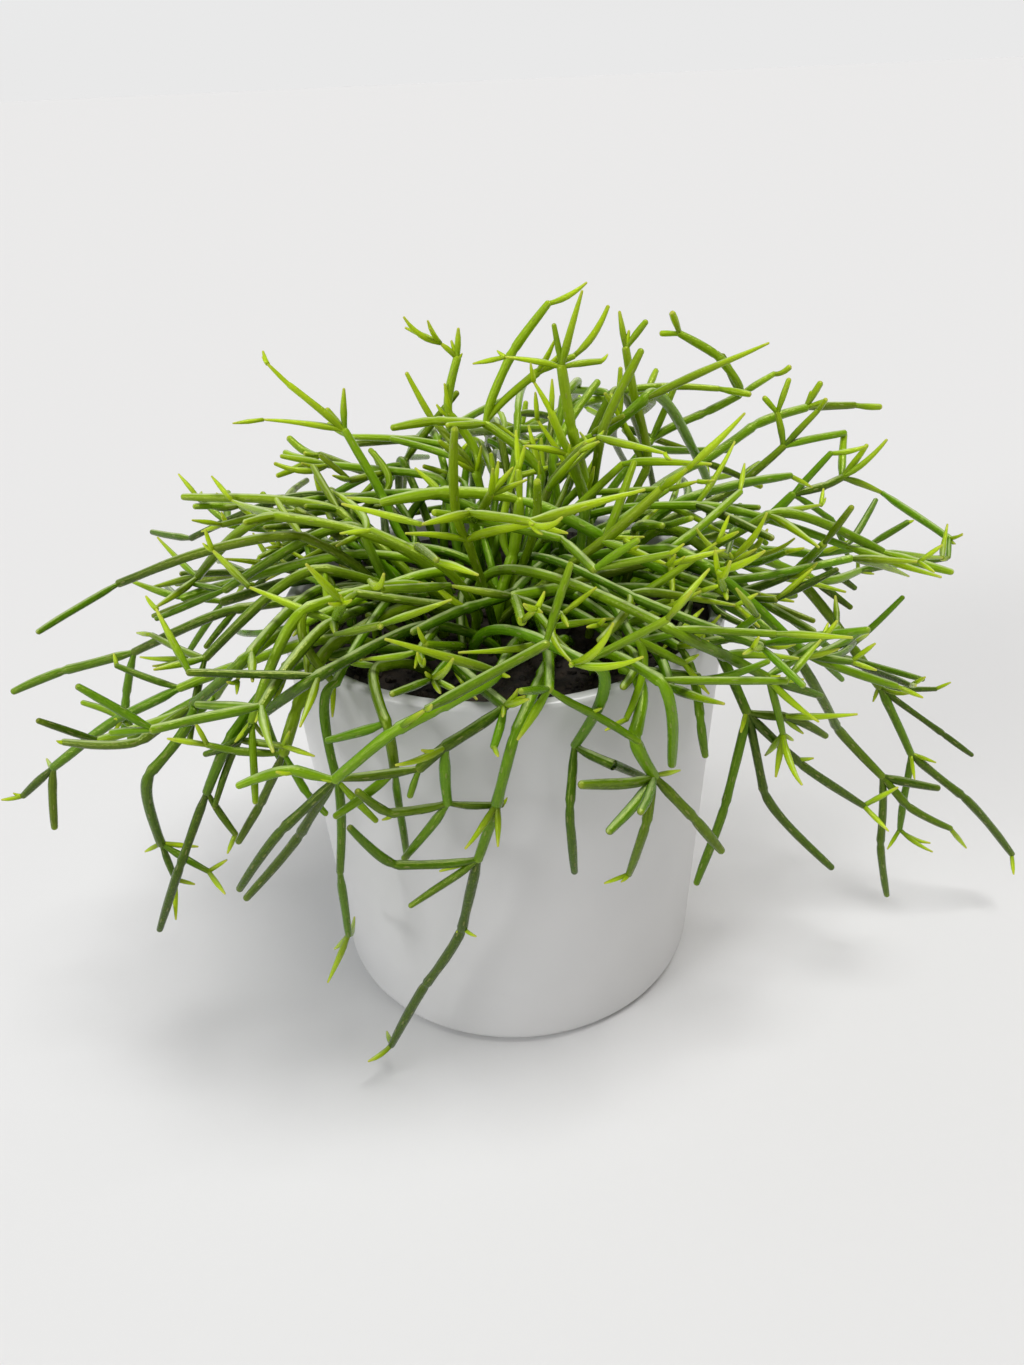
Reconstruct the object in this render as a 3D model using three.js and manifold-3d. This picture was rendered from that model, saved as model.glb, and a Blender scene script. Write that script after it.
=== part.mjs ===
// A mistletoe cactus in a plain ceramic pot: thin round stems that fork in whorls, arch over the rim and hang.
// Millimetres, +Z up. The origin is the centre of the pot's underside, and the front of the plant faces -Y.
import * as THREE from "three";
import { mergeVertices } from "three/addons/utils/BufferGeometryUtils.js";
import Module from "manifold-3d";

// The pot: a cup that narrows a little towards its base
const POT_HEIGHT = 138;
const POT_RIM_RADIUS = 70;
const POT_BASE_RADIUS = 64.4;
const POT_WALL = 4.4;
const POT_FLOOR = 5;
const POT_BASE_EDGE = 4.5;
const POT_RIM_EDGE = 1.6;
const POT_SIDES = 40;
const EDGE_STEPS = 3;

// The soil: a plug of peat, highest in the middle, with a hole for each stem
const SOIL_EDGE_HEIGHT = 131;
const SOIL_MOUND = 3.5;
const SOIL_RINGS = 2;
const SEAT_GAP = 0.3;

// The stems: radii, and how deep and how close together they stand
const STOUT = 2.1;
const MAIN = 1.8;
const SLIM = 1.3;
const FINE = 0.9;
const SHOOT = 0.75;
const ROOT_DEPTH = 12;
const ROOT_RISE = 1.2;
const HOLE_GAP = 0.35;
const HOLE_TOP = 3;
const ROOT_SPREAD = 6.3;
const ROOT_PLACES = 66;
const ROOT_TRIES = 10;
const ROOT_LEAN = 0.9;
const ROOT_LIFT = 14;
const MOST_LEAN = 1.7;
const GOLDEN_ANGLE = Math.PI * (3 - Math.sqrt(5));

// How a stem bends, and how it passes its neighbours
const ROOT_GRIP = 0.42;
const GRIP = 0.22;
const FORK_PULL = 2.5;
const RING_STEP = 24;
const STRAIGHT_BULGE = 1.5;
const BALL_STEP = 2;
const CLEARANCE = 0.8;
const JOINT_REACH = 8;
const JOINT_PINCH = 0.8;
const END_KNOB = 0.7;
const FORKED_END = 0.9;
const BLUNT_END = 0.6;
const MAIN_SIDES = 5;
const SLIM_SIDES = 4;
const SHOOT_SIDES = 3;
const ASIDE = new THREE.Vector3(0, 0.85, -0.52);
const DODGES = [0, 2.5, -2.5, 5, -5, 8, -8, 11, -11, 15, -15];
const SWAYS = [0, 3, -3, 7, -7];
const UP = new THREE.Vector3(0, 0, 1);
const SIDEWAYS = new THREE.Vector3(1, 0, 0);
const STEEP = 0.9;
const DEGREE = Math.PI / 180;

// A stem leaves the soil near "root" and passes through the joints of "way"; a fork leaves at a joint's number
const stem = (root, way, forks = [], radius = MAIN) => ({ root, way, forks, radius });
const fork = (joint, way, radius = SLIM, forks = []) => ({ joint, way, radius, forks });

// The stems that show from the front, by the places of their joints: x to the right, y to the back and z up
const FRONT_STEMS = [
  stem([0, -20], [[3, -20, 157], [6, -18, 174]], [
    fork(1, [[-15, -16, 177], [-33, -14, 174]], STOUT),
    fork(1, [[28, -22, 164], [48, -28, 154]], STOUT),
    fork(1, [[6, -16, 182]]),
  ], STOUT),
  stem([16, -30], [[9, -64, 144], [2, -80, 138], [-4, -82, 117], [-10, -82, 98]], [
    fork(3, [[-16, -80, 71], [-28, -78, 47], [-42, -76, 17]], MAIN),
    fork(3, [[-31, -84, 99], [-42, -86, 114]]),
    fork(3, [[-29, -86, 86]], FINE),
  ]),
  stem([12, -30], [[-2, -70, 149], [-15, -86, 150], [-26, -89, 146], [-43, -89, 132]], [
    fork(2, [[-19, -92, 153]], FINE),
    fork(3, [[-52, -90, 136], [-66, -91, 133]]),
    fork(3, [[-57, -90, 119], [-73, -88, 97]]),
    fork(3, [[-55, -84, 112], [-74, -82, 88]]),
  ]),
  stem([-30, -24], [[-15, -52, 143], [-1, -75, 142]], [
    fork(1, [[-4, -84, 136]]),
    fork(1, [[-16, -80, 134], [-23, -82, 129]], MAIN, [
      fork(1, [[-43, -82, 127]]),
      fork(1, [[-26, -84, 122]], FINE),
      fork(0, [[-17, -80, 116]], MAIN, [
        fork(0, [[-31, -82, 115], [-39, -84, 124]]),
        fork(0, [[-30, -82, 99]]),
        fork(0, [[-3, -80, 114]], FINE),
      ]),
    ]),
  ], STOUT),
  stem([13, -20], [[11, -48, 146], [10, -76, 147]], [
    fork(1, [[2, -84, 138]]),
    fork(1, [[20, -80, 142], [32, -82, 134]], FINE),
  ]),
  stem([28, -25], [[31, -60, 142], [32, -75, 132], [37, -78, 120]], [
    fork(2, [[17, -92, 129]], MAIN),
    fork(2, [[24, -92, 114]], MAIN),
    fork(2, [[35, -82, 109], [31, -80, 88]]),
    fork(2, [[47, -80, 108], [56, -80, 95]], MAIN),
    fork(2, [[31, -96, 123]]),
  ], STOUT),
  stem([43, -10], [[56, -42, 142], [66, -56, 124]], [
    fork(1, [[72, -60, 100], [94, -64, 72]]),
    fork(1, [[81, -58, 108], [103, -58, 90]]),
    fork(1, [[60, -66, 101], [52, -72, 76]]),
    fork(1, [[76, -56, 122], [90, -54, 113]]),
  ]),
  stem([45, 5], [[64, -12, 142], [82, -22, 125], [102, -30, 100], [118, -34, 82]], [
    fork(3, [[137, -34, 76]], MAIN),
    fork(3, [[125, -38, 74], [141, -40, 64]]),
    fork(3, [[121, -36, 57], [127, -36, 32]]),
  ]),
  stem([50, 20], [[72, 22, 143], [98, 16, 130], [117, 6, 108], [128, 2, 93]], [
    fork(3, [[150, 6, 88]], FINE),
    fork(3, [[151, -2, 75], [163, -4, 66]], FINE),
    fork(3, [[141, -4, 68]], MAIN, [
      fork(0, [[160, -8, 52], [184, -10, 24]], MAIN),
      fork(0, [[141, -6, 49], [142, -6, 35]]),
    ]),
  ], STOUT),
  stem([-20, -4], [[-52, -8, 143], [-80, -16, 143], [-115, -14, 129]], [
    fork(1, [[-90, -22, 134]], FINE),
    fork(2, [[-137, -14, 124], [-155, -16, 118]], MAIN),
    fork(2, [[-120, -16, 116], [-123, -20, 103]]),
  ]),
  stem([-19, 4], [[-43, 4, 144], [-67, 4, 142], [-90, 4, 136]], [
    fork(2, [[-102, 6, 138]]),
    fork(2, [[-106, 2, 117]], FINE),
  ], STOUT),
  stem([-31, -30], [[-54, -38, 143], [-74, -42, 139], [-93, -42, 132]], [
    fork(2, [[-110, -40, 139]], FINE),
    fork(2, [[-112, -42, 123], [-135, -44, 108]], MAIN, [
      fork(1, [[-147, -44, 98]]),
      fork(1, [[-140, -46, 87]]),
    ]),
  ]),
  stem([-45, -38], [[-71, -48, 143], [-81, -50, 134], [-115, -52, 122]], [
    fork(1, [[-99, -54, 126]]),
    fork(2, [[-128, -56, 132]], FINE),
  ]),
  stem([-36, -30], [[-47, -46, 146], [-56, -60, 136], [-61, -65, 124]], [
    fork(2, [[-70, -64, 107], [-79, -64, 93]]),
    fork(2, [[-56, -70, 115], [-51, -72, 108]], FINE),
    fork(2, [[-72, -68, 127], [-79, -70, 131]], FINE),
  ], STOUT),
  stem([-44, -30], [[-66, -46, 144], [-85, -56, 135], [-97, -61, 118], [-102, -62, 92]], [
    fork(1, [[-99, -58, 126], [-122, -58, 126]]),
    fork(3, [[-101, -62, 78]], FINE),
    fork(3, [[-89, -66, 84]], FINE),
  ]),
  stem([-40, -38], [[-60, -54, 143], [-75, -62, 128], [-84, -65, 112]], [
    fork(2, [[-94, -70, 92], [-106, -70, 66]]),
    fork(2, [[-78, -68, 99]], FINE),
    fork(1, [[-60, -66, 127]], FINE),
  ]),
  stem([-22, -36], [[-34, -56, 144], [-31, -75, 139], [-30, -80, 127]], [
    fork(2, [[-46, -82, 115]]),
    fork(2, [[-30, -82, 98]], FINE),
    fork(1, [[-47, -72, 132]]),
  ]),
  stem([-36, -40], [[-44, -62, 143], [-47, -71, 118], [-50, -71, 86]], [
    fork(2, [[-51, -70, 60]]),
    fork(1, [[-37, -76, 108]], FINE),
  ], SLIM),
  stem([10, 10], [[14, 22, 166], [-3, 30, 182]], [
    fork(1, [[-18, 32, 183], [-33, 34, 181]], MAIN),
    fork(1, [[6, 34, 202], [18, 34, 217]], MAIN),
    fork(1, [[14, 36, 196], [26, 38, 200]]),
    fork(1, [[8, 28, 177]], FINE),
  ]),
  stem([29, 8], [[28, 15, 163], [24, 18, 182], [21, 20, 201]], [
    fork(2, [[27, 18, 223]]),
    fork(2, [[19, 22, 213]], FINE),
    fork(2, [[4, 20, 205]], FINE),
    fork(2, [[33, 22, 202]], FINE),
  ], STOUT),
  stem([32, -2], [[27, 6, 160], [22, 8, 178]], [
    fork(1, [[31, 8, 183]]),
    fork(1, [[9, 6, 182]]),
    fork(1, [[17, 8, 191], [12, 10, 200]]),
  ], STOUT),
  stem([41, 25], [[50, 35, 162], [47, 38, 182], [43, 40, 201]], [
    fork(2, [[41, 42, 212]], FINE),
    fork(2, [[49, 40, 209]]),
    fork(0, [[42, 44, 178], [37, 44, 186]], SLIM),
  ]),
  stem([38, 36], [[55, 60, 164], [74, 66, 171], [88, 70, 176]], [
    fork(2, [[82, 74, 189]], MAIN),
    fork(2, [[80, 72, 187], [66, 72, 198]], MAIN),
    fork(2, [[101, 74, 182]]),
    fork(0, [[64, 62, 184]]),
  ]),
  stem([46, 32], [[73, 56, 157], [92, 64, 166], [112, 68, 171]], [
    fork(2, [[131, 72, 170]], MAIN),
    fork(0, [[88, 58, 150]]),
  ], STOUT),
  stem([36, 16], [[56, 36, 143], [78, 44, 148], [100, 50, 163]], [
    fork(2, [[112, 54, 174]]),
    fork(2, [[123, 56, 165]], FINE),
    fork(2, [[98, 54, 174]], FINE),
  ]),
  stem([48, 14], [[76, 30, 142], [92, 36, 142], [102, 40, 149]], [
    fork(2, [[115, 44, 162]]),
    fork(2, [[113, 42, 151], [120, 44, 153]], MAIN, [fork(1, [[136, 46, 146]])]),
    fork(2, [[117, 40, 139], [124, 38, 126]], FINE),
  ], STOUT),
  stem([50, 8], [[80, 22, 142], [104, 24, 134], [126, 26, 135]], [
    fork(2, [[139, 28, 142]]),
    fork(1, [[122, 22, 121]]),
  ]),
  stem([46, -4], [[79, 8, 142], [102, 18, 127], [123, 28, 124]], [
    fork(2, [[141, 32, 125], [157, 32, 126]], MAIN),
    fork(1, [[116, 8, 121]]),
  ]),
  stem([44, -20], [[62, -24, 143], [76, -28, 134], [89, -31, 126]], [
    fork(2, [[105, -30, 133]]),
    fork(2, [[99, -37, 121]], FINE),
    fork(0, [[71, -34, 138]], FINE),
  ], STOUT),
  stem([20, -8], [[28, -28, 144], [47, -49, 142]], [
    fork(1, [[51, -62, 128], [53, -66, 117]]),
    fork(1, [[60, -50, 144], [71, -50, 142]]),
  ]),
  stem([34, 0], [[50, -10, 150], [57, -19, 141]], [
    fork(1, [[84, -20, 147]], MAIN),
    fork(1, [[50, -36, 139]]),
  ]),
  stem([22, -16], [[24, -30, 152], [3, -44, 157]], [
    fork(1, [[-14, -46, 162]]),
    fork(1, [[15, -56, 157]]),
  ], STOUT),
  stem([12, -10], [[4, -24, 149], [-10, -42, 153], [-24, -54, 153]]),
  stem([30, -36], [[37, -66, 142], [42, -76, 122], [46, -76, 101]], [
    fork(2, [[34, -80, 97]]),
    fork(2, [[61, -76, 84]]),
  ]),
  stem([22, -36], [[19, -66, 148], [17, -79, 131]], [
    fork(1, [[15, -80, 115], [16, -80, 90]]),
    fork(1, [[26, -84, 128], [35, -86, 124]]),
  ]),
  stem([-10, 8], [[-29, 20, 145], [-38, 28, 159], [-49, 36, 180]], [
    fork(2, [[-48, 38, 193]]),
    fork(2, [[-65, 38, 195], [-71, 38, 202]]),
    fork(2, [[-75, 36, 185]], FINE),
  ]),
  stem([-6, 20], [[-18, 36, 160], [-37, 44, 163], [-58, 48, 165]], [
    fork(2, [[-74, 50, 168]]),
    fork(1, [[-50, 46, 152]], FINE),
  ]),
  stem([-4, 12], [[-17, 22, 161], [-39, 30, 161], [-61, 34, 155]], [
    fork(2, [[-81, 36, 149]]),
    fork(2, [[-77, 34, 140]], FINE),
    fork(1, [[-54, 26, 149]]),
  ], STOUT),
  stem([-14, 16], [[-34, 22, 143], [-52, 24, 144], [-69, 26, 144]], [
    fork(2, [[-86, 30, 158], [-93, 30, 163]], FINE),
    fork(2, [[-87, 22, 134]], FINE),
  ]),
  stem([-2, 26], [[-7, 30, 166], [-14, 36, 183], [-11, 38, 201]], [
    fork(2, [[-10, 38, 210]]),
    fork(2, [[-16, 38, 206]]),
    fork(0, [[-20, 42, 180], [-28, 46, 195]]),
  ]),
  stem([22, -28], [[41, -55, 150], [57, -62, 146], [69, -61, 138]], [
    fork(2, [[86, -56, 128]]),
    fork(1, [[78, -59, 142]]),
    fork(2, [[75, -62, 120]], FINE),
  ]),
  stem([-10, -24], [[-18, -44, 149], [-47, -58, 143], [-64, -63, 136]], [
    fork(2, [[-81, -60, 122]]),
    fork(2, [[-62, -66, 118]]),
  ]),
  stem([-6, -28], [[-12, -50, 146], [-26, -69, 147], [-39, -74, 140]], [
    fork(2, [[-48, -76, 128]]),
    fork(1, [[-44, -70, 149]]),
  ]),
  stem([6, -26], [[8, -42, 156], [23, -60, 160]], [
    fork(1, [[42, -57, 158]]),
    fork(1, [[28, -68, 152]]),
  ]),
];

// The stems behind: how many, the bearings they leave at (0 is right, 90 the back), the ranges of their first
// two stretches, and their forks by joint with ranges of bearing, pitch and length
const BACK_STEMS = 18;
const BACK_SEED = 7919;
const GOLDEN_SHARE = 0.618034;
const BACK_BEARINGS = [24, 160];
const BACK_ROOT_REACH = 30;
const BACK_FIRST_REACH = [48, 76];
const BACK_FIRST_HEIGHT = [148, 186];
const BACK_NEXT_LENGTH = [36, 62];
const BACK_NEXT_PITCH = [-62, -4];
const BACK_TURN = [-14, 14];
const BACK_STOUT_SHARE = 0.3;
const BACK_FORKS = [
  { joint: 0, bearings: [38, 68], pitches: [10, -30], lengths: [26, 46] },
  { joint: 0, bearings: [-38, -68], pitches: [25, -15], lengths: [26, 46] },
  { joint: 1, bearings: [25, 50], pitches: [0, -80], lengths: [20, 40] },
  { joint: 1, bearings: [-25, -50], pitches: [10, -50], lengths: [20, 40] },
  { joint: 1, bearings: [-8, 8], pitches: [-30, -85], lengths: [20, 40] },
];

// The leaders: a second shoot from the collar of one stem in a few, which fills the bush between the others. By
// turns it rises into the crown or leans out, with its own forks
const LEADER_SEED = 3571;
const LEADER_PACE = 3;
const LEADER_TURN = [-65, 65];
const LEADERS = [
  { pitches: [32, 62], lengths: [26, 44], nextPitches: [5, 50], nextLengths: [20, 36], tilts: [-5, 45] },
  { pitches: [14, 34], lengths: [38, 60], nextPitches: [-35, 10], nextLengths: [26, 46], tilts: [-25, 30] },
];
const LEADER_FORKS = [
  { joint: 0, sides: [32, 72] },
  { joint: 0, sides: [-72, -32] },
  { joint: 1, sides: [18, 60] },
  { joint: 1, sides: [-60, -18] },
];
const LEADER_FORK_LENGTH = [16, 32];
const DOME_TOP = 195;
const DOME_BACK = 0.28;
const DOME_SIDE = 0.0022;

// The whorl of young shoots at the end of a stem
const WHORL_SEEDS = [104729, 613];
const WHORL_SHARE = 0.25;
const WHORL_LENGTH = [5, 12];
const WHORL_TILT = [22, 50];
const WHORL_LIFT = 0.3;

// Repeatable draws between 0 and 1
function dice(seed) {
  let state = seed;
  return () => {
    state = (state * 48271) % 2147483647;
    return state / 2147483647;
  };
}

const between = ([low, high], roll) => low + (high - low) * roll();
const vector = (place) => new THREE.Vector3(...place);
const potRadius = (z) => POT_BASE_RADIUS + ((POT_RIM_RADIUS - POT_BASE_RADIUS) * z) / POT_HEIGHT;
const soilHeight = (reach) => SOIL_EDGE_HEIGHT + SOIL_MOUND * (1 - (reach / potRadius(SOIL_EDGE_HEIGHT)) ** 2);

// The place at a bearing and pitch in degrees, and a distance, from another
function placeFrom(start, bearing, pitch, length) {
  const level = Math.cos(pitch * DEGREE) * length;
  return [
    start[0] + Math.cos(bearing * DEGREE) * level,
    start[1] + Math.sin(bearing * DEGREE) * level,
    start[2] + Math.sin(pitch * DEGREE) * length,
  ];
}

// A stem at the back, which arches up and out, forks, and hangs
function backStem(number) {
  const roll = dice(BACK_SEED * (number + 3));
  const share = (number * GOLDEN_SHARE) % 1;
  const bearing = BACK_BEARINGS[0] + (BACK_BEARINGS[1] - BACK_BEARINGS[0]) * share;
  const reach = between(BACK_FIRST_REACH, roll);
  const first = placeFrom([0, 0, between(BACK_FIRST_HEIGHT, roll)], bearing, 0, reach);
  const turn = between(BACK_TURN, roll);
  const pitch = between(BACK_NEXT_PITCH, roll);
  const next = placeFrom(first, bearing + turn, pitch, between(BACK_NEXT_LENGTH, roll));
  const way = [first, next];
  const forks = BACK_FORKS.map(({ joint, bearings, pitches, lengths }) => {
    const side = bearing + between(bearings, roll);
    const tip = placeFrom(way[joint], side, between(pitches, roll), between(lengths, roll));
    return fork(joint, [tip], roll() < 0.5 ? SLIM : FINE);
  });
  const inner = BACK_ROOT_REACH / reach;
  return stem([first[0] * inner, first[1] * inner], way, forks, roll() < BACK_STOUT_SHARE ? STOUT : MAIN);
}

// Whether a place is under the bush's rounded top, which only the tallest stems pass
const underDome = ([x, y, z]) => z < DOME_TOP - DOME_BACK * Math.max(0, y) - DOME_SIDE * x * x;

// A leader from the collar of a stem, turned aside from the way that the stem leans
function leaderPlan(collar, bearing, number) {
  const roll = dice(LEADER_SEED * (number + 2));
  const kind = LEADERS[(number / LEADER_PACE) % LEADERS.length];
  const outward = bearing + between(LEADER_TURN, roll);
  const first = placeFrom(collar.toArray(), outward, between(kind.pitches, roll), between(kind.lengths, roll));
  const next = placeFrom(first, outward, between(kind.nextPitches, roll), between(kind.nextLengths, roll));
  const way = [first, next].filter(underDome);
  const forks = [];
  for (const { joint, sides } of LEADER_FORKS) {
    const side = outward + between(sides, roll);
    const tilt = between(kind.tilts, roll);
    const length = between(LEADER_FORK_LENGTH, roll);
    const tip = joint < way.length ? placeFrom(way[joint], side, tilt, length) : null;
    if (tip && underDome(tip)) {
      forks.push(fork(joint, [tip]));
    }
  }
  return fork(0, way, MAIN, forks);
}

// A stretch of stem: it sets off along "heading", and a knee between its ends bends it towards "to"
function bend(from, heading, to, sway, grip) {
  const span = from.distanceTo(to);
  const side = to.clone().sub(from).cross(UP).normalize().multiplyScalar(sway);
  const knee = from.clone().addScaledVector(heading, grip * span).add(side);
  const chord = to.clone().sub(from).normalize();
  const bulge = knee.clone().sub(from).cross(chord).length() / 2;
  const rings = bulge < STRAIGHT_BULGE ? 1 : Math.max(2, Math.round(span / RING_STEP));
  const points = [];
  for (let i = 0; i <= rings; i++) {
    const t = i / rings;
    points.push(
      new THREE.Vector3()
        .addScaledVector(from, (1 - t) * (1 - t))
        .addScaledVector(knee, 2 * t * (1 - t))
        .addScaledVector(to, t * t),
    );
  }
  return { points, heading: to.clone().sub(knee).normalize() };
}

// The places every 2 mm or less along the straight pieces between a stretch's rings
function stepsAlong(points) {
  const steps = [points[0]];
  for (let i = 1; i < points.length; i++) {
    const count = Math.ceil(points[i - 1].distanceTo(points[i]) / BALL_STEP);
    for (let k = 1; k <= count; k++) {
      steps.push(points[i - 1].clone().lerp(points[i], k / count));
    }
  }
  return steps;
}

// Balls along every stem so far: place, radius, and the number of the stem
const grown = [];

function addBalls(steps, radius, number) {
  for (const place of steps) {
    grown.push({ place, radius, number });
  }
}

// Whether a stem may pass a place: above the soil, over the rim, outside the pot and above the pot's underside
function clearOfPot(place, radius) {
  const reach = Math.hypot(place.x, place.y);
  const room = radius + CLEARANCE / 2;
  if (place.z < room) {
    return false;
  }
  if (reach < POT_RIM_RADIUS - POT_WALL - room) {
    return place.z > soilHeight(reach) + room;
  }
  return place.z > POT_HEIGHT + room || reach > potRadius(place.z) + room;
}

function clearOfStems(steps, radius, number, start) {
  const low = new THREE.Vector3(Infinity, Infinity, Infinity);
  const high = low.clone().negate();
  for (const place of steps) {
    low.min(place);
    high.max(place);
  }
  const room = radius + STOUT + CLEARANCE;
  low.subScalar(room);
  high.addScalar(room);
  const box = new THREE.Box3(low, high);
  const apart = (ball) => ball.number !== number || ball.place.distanceTo(start) > JOINT_REACH;
  const near = grown.filter((ball) => box.containsPoint(ball.place) && apart(ball));
  return steps.every((place) =>
    near.every((ball) => ball.place.distanceTo(place) > ball.radius + radius + CLEARANCE),
  );
}

// The first stretch that passes clear of everything, moved aside as little as that takes, or null
function clearStretch(from, heading, to, radius, number, grip = GRIP) {
  for (const dodge of DODGES) {
    for (const sway of SWAYS) {
      const end = to.clone().addScaledVector(ASIDE, dodge);
      const stretch = bend(from, heading, end, sway, grip);
      const steps = stepsAlong(stretch.points);
      if (steps.every((place) => clearOfPot(place, radius)) && clearOfStems(steps, radius, number, from)) {
        addBalls(steps, radius, number);
        return stretch;
      }
    }
  }
  return null;
}

// Root places: a sunflower's spiral about the pot's axis
const rootPlaces = Array.from({ length: ROOT_PLACES }, (_, i) => {
  const reach = ROOT_SPREAD * Math.sqrt(i + 0.5);
  return [reach * Math.cos(i * GOLDEN_ANGLE), reach * Math.sin(i * GOLDEN_ANGLE)];
});

// Where a stem stands in the soil: the free root place nearest to its own from which its first stretch is clear
function plantRoot(plan, number) {
  const first = vector(plan.way[0]);
  const away = (place) => Math.hypot(place[0] - plan.root[0], place[1] - plan.root[1]);
  const choices = [...rootPlaces].sort((a, b) => away(a) - away(b)).slice(0, ROOT_TRIES);
  for (const choice of choices) {
    const top = new THREE.Vector3(choice[0], choice[1], soilHeight(Math.hypot(...choice)));
    const level = first.clone().sub(top).setZ(0);
    const lean = Math.min(MOST_LEAN, (ROOT_LEAN * level.length()) / (first.z - top.z + ROOT_LIFT));
    for (const slope of [lean, lean / 2, 0]) {
      const heading = level.clone().setLength(slope).add(UP).normalize();
      const foot = top.clone().addScaledVector(heading, -ROOT_DEPTH);
      const collar = top.clone().addScaledVector(heading, (plan.radius + ROOT_RISE) / heading.z);
      const steps = stepsAlong([foot, collar]);
      if (!clearOfStems(steps, plan.radius + HOLE_GAP, number, top)) {
        continue;
      }
      const stretch = clearStretch(collar, heading, first, plan.radius, number, ROOT_GRIP);
      if (stretch) {
        addBalls(steps, plan.radius + HOLE_GAP, number);
        rootPlaces.splice(rootPlaces.indexOf(choice), 1);
        return { foot, collar, heading, stretch };
      }
    }
  }
  return null;
}

// Where a fork sets off: between its parent's heading and the way to its own first joint
function forkHeading(parentHeading, from, to) {
  return to.clone().sub(from).normalize().multiplyScalar(FORK_PULL).add(parentHeading).normalize();
}

// Grows a run on through the joints of a way, for as long as each stretch is clear
function growOn(run, joints, start, way, number) {
  let { place, heading } = start;
  for (const joint of way) {
    const stretch = clearStretch(place, heading, vector(joint), run.radius, number);
    if (!stretch) {
      break;
    }
    run.points.push(...stretch.points.slice(1));
    place = stretch.points[stretch.points.length - 1];
    heading = stretch.heading;
    joints.push({ place, heading, ring: run.points.length - 1 });
  }
}

// A branch through its joints, and then its own forks and its end
function growBranch(start, plan, number, roll, runs) {
  const run = { points: [start.place], radius: plan.radius };
  const joints = [];
  growOn(run, joints, start, plan.way, number);
  if (joints.length) {
    run.joints = joints;
    runs.push(run);
    growForks(run, plan, number, roll, runs);
  }
}

function growForks(run, plan, number, roll, runs) {
  const { joints } = run;
  run.forked = plan.forks.some((branch) => branch.joint === joints.length - 1);
  for (const branch of plan.forks) {
    const joint = joints[branch.joint];
    if (joint) {
      const heading = forkHeading(joint.heading, joint.place, vector(branch.way[0]));
      growBranch({ place: joint.place, heading }, branch, number, roll, runs);
    }
  }
  if (roll() < WHORL_SHARE) {
    growWhorl(joints[joints.length - 1], number, roll, runs);
  }
}

// One or two young shoots round the end of a stem
function growWhorl(joint, number, roll, runs) {
  const count = 1 + Math.floor(2 * roll());
  const side = joint.heading.clone().cross(Math.abs(joint.heading.z) < STEEP ? UP : SIDEWAYS).normalize();
  for (let i = 0; i < count; i++) {
    const tilt = between(WHORL_TILT, roll) * DEGREE;
    const turn = ((i + 0.5 * roll()) / count) * 2 * Math.PI;
    const length = between(WHORL_LENGTH, roll);
    const heading = joint.heading
      .clone()
      .multiplyScalar(Math.cos(tilt))
      .addScaledVector(side.clone().applyAxisAngle(joint.heading, turn), Math.sin(tilt))
      .addScaledVector(UP, WHORL_LIFT)
      .normalize();
    const tip = joint.place.clone().addScaledVector(heading, length);
    const steps = stepsAlong([joint.place, tip]);
    if (steps.every((place) => clearOfPot(place, SHOOT)) && clearOfStems(steps, SHOOT, number, joint.place)) {
      addBalls(steps, SHOOT, number);
      runs.push({ points: [joint.place, tip], radius: SHOOT, joints: [], shoot: true });
    }
  }
}

// A whole stem: its root, and every run of rings above it
function growStem(plan, number) {
  const roll = dice(WHORL_SEEDS[0] + WHORL_SEEDS[1] * number);
  const root = plantRoot(plan, number);
  if (!root) {
    return null;
  }
  const points = [root.foot, ...root.stretch.points];
  const first = { place: points[points.length - 1], heading: root.stretch.heading, ring: points.length - 1 };
  const run = { points, radius: plan.radius, joints: [first], rooted: true };
  growOn(run, run.joints, first, plan.way.slice(1), number);
  const runs = [run];
  growForks(run, plan, number, roll, runs);
  return { root, runs, radius: plan.radius, number };
}

// A stem's leader sets off from its collar, halfway between the stem's own lean and the way to its first joint
function growLeader({ root, runs, number }) {
  const bearing = Math.atan2(root.heading.y, root.heading.x) / DEGREE;
  const plan = leaderPlan(root.collar, bearing, number);
  if (plan.way.length) {
    const heading = forkHeading(root.heading, root.collar, vector(plan.way[0]));
    const noWhorl = () => 1;
    growBranch({ place: root.collar, heading }, plan, number, noWhorl, runs);
  }
}

const wasm = await Module();
wasm.setup();

// A closed geometry as a solid that can be joined and cut
function solid(geometry) {
  const bare = geometry.clone();
  bare.deleteAttribute("normal");
  bare.deleteAttribute("uv");
  const merged = mergeVertices(bare, 1e-4);
  const corners = merged.index.array;
  const kept = [];
  for (let i = 0; i < corners.length; i += 3) {
    const [a, b, c] = [corners[i], corners[i + 1], corners[i + 2]];
    if (a !== b && b !== c && c !== a) {
      kept.push(a, b, c);
    }
  }
  return new wasm.Manifold(
    new wasm.Mesh({
      numProp: 3,
      vertProperties: new Float32Array(merged.attributes.position.array),
      triVerts: new Uint32Array(kept),
    }),
  );
}

function geometryOf(body) {
  const { numProp, vertProperties, triVerts } = body.getMesh();
  const places = new Float32Array((vertProperties.length / numProp) * 3);
  for (let i = 0; i < places.length / 3; i++) {
    places.set(vertProperties.subarray(i * numProp, i * numProp + 3), i * 3);
  }
  const geometry = new THREE.BufferGeometry();
  geometry.setAttribute("position", new THREE.BufferAttribute(places, 3));
  geometry.setIndex([...triVerts]);
  return geometry;
}

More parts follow.
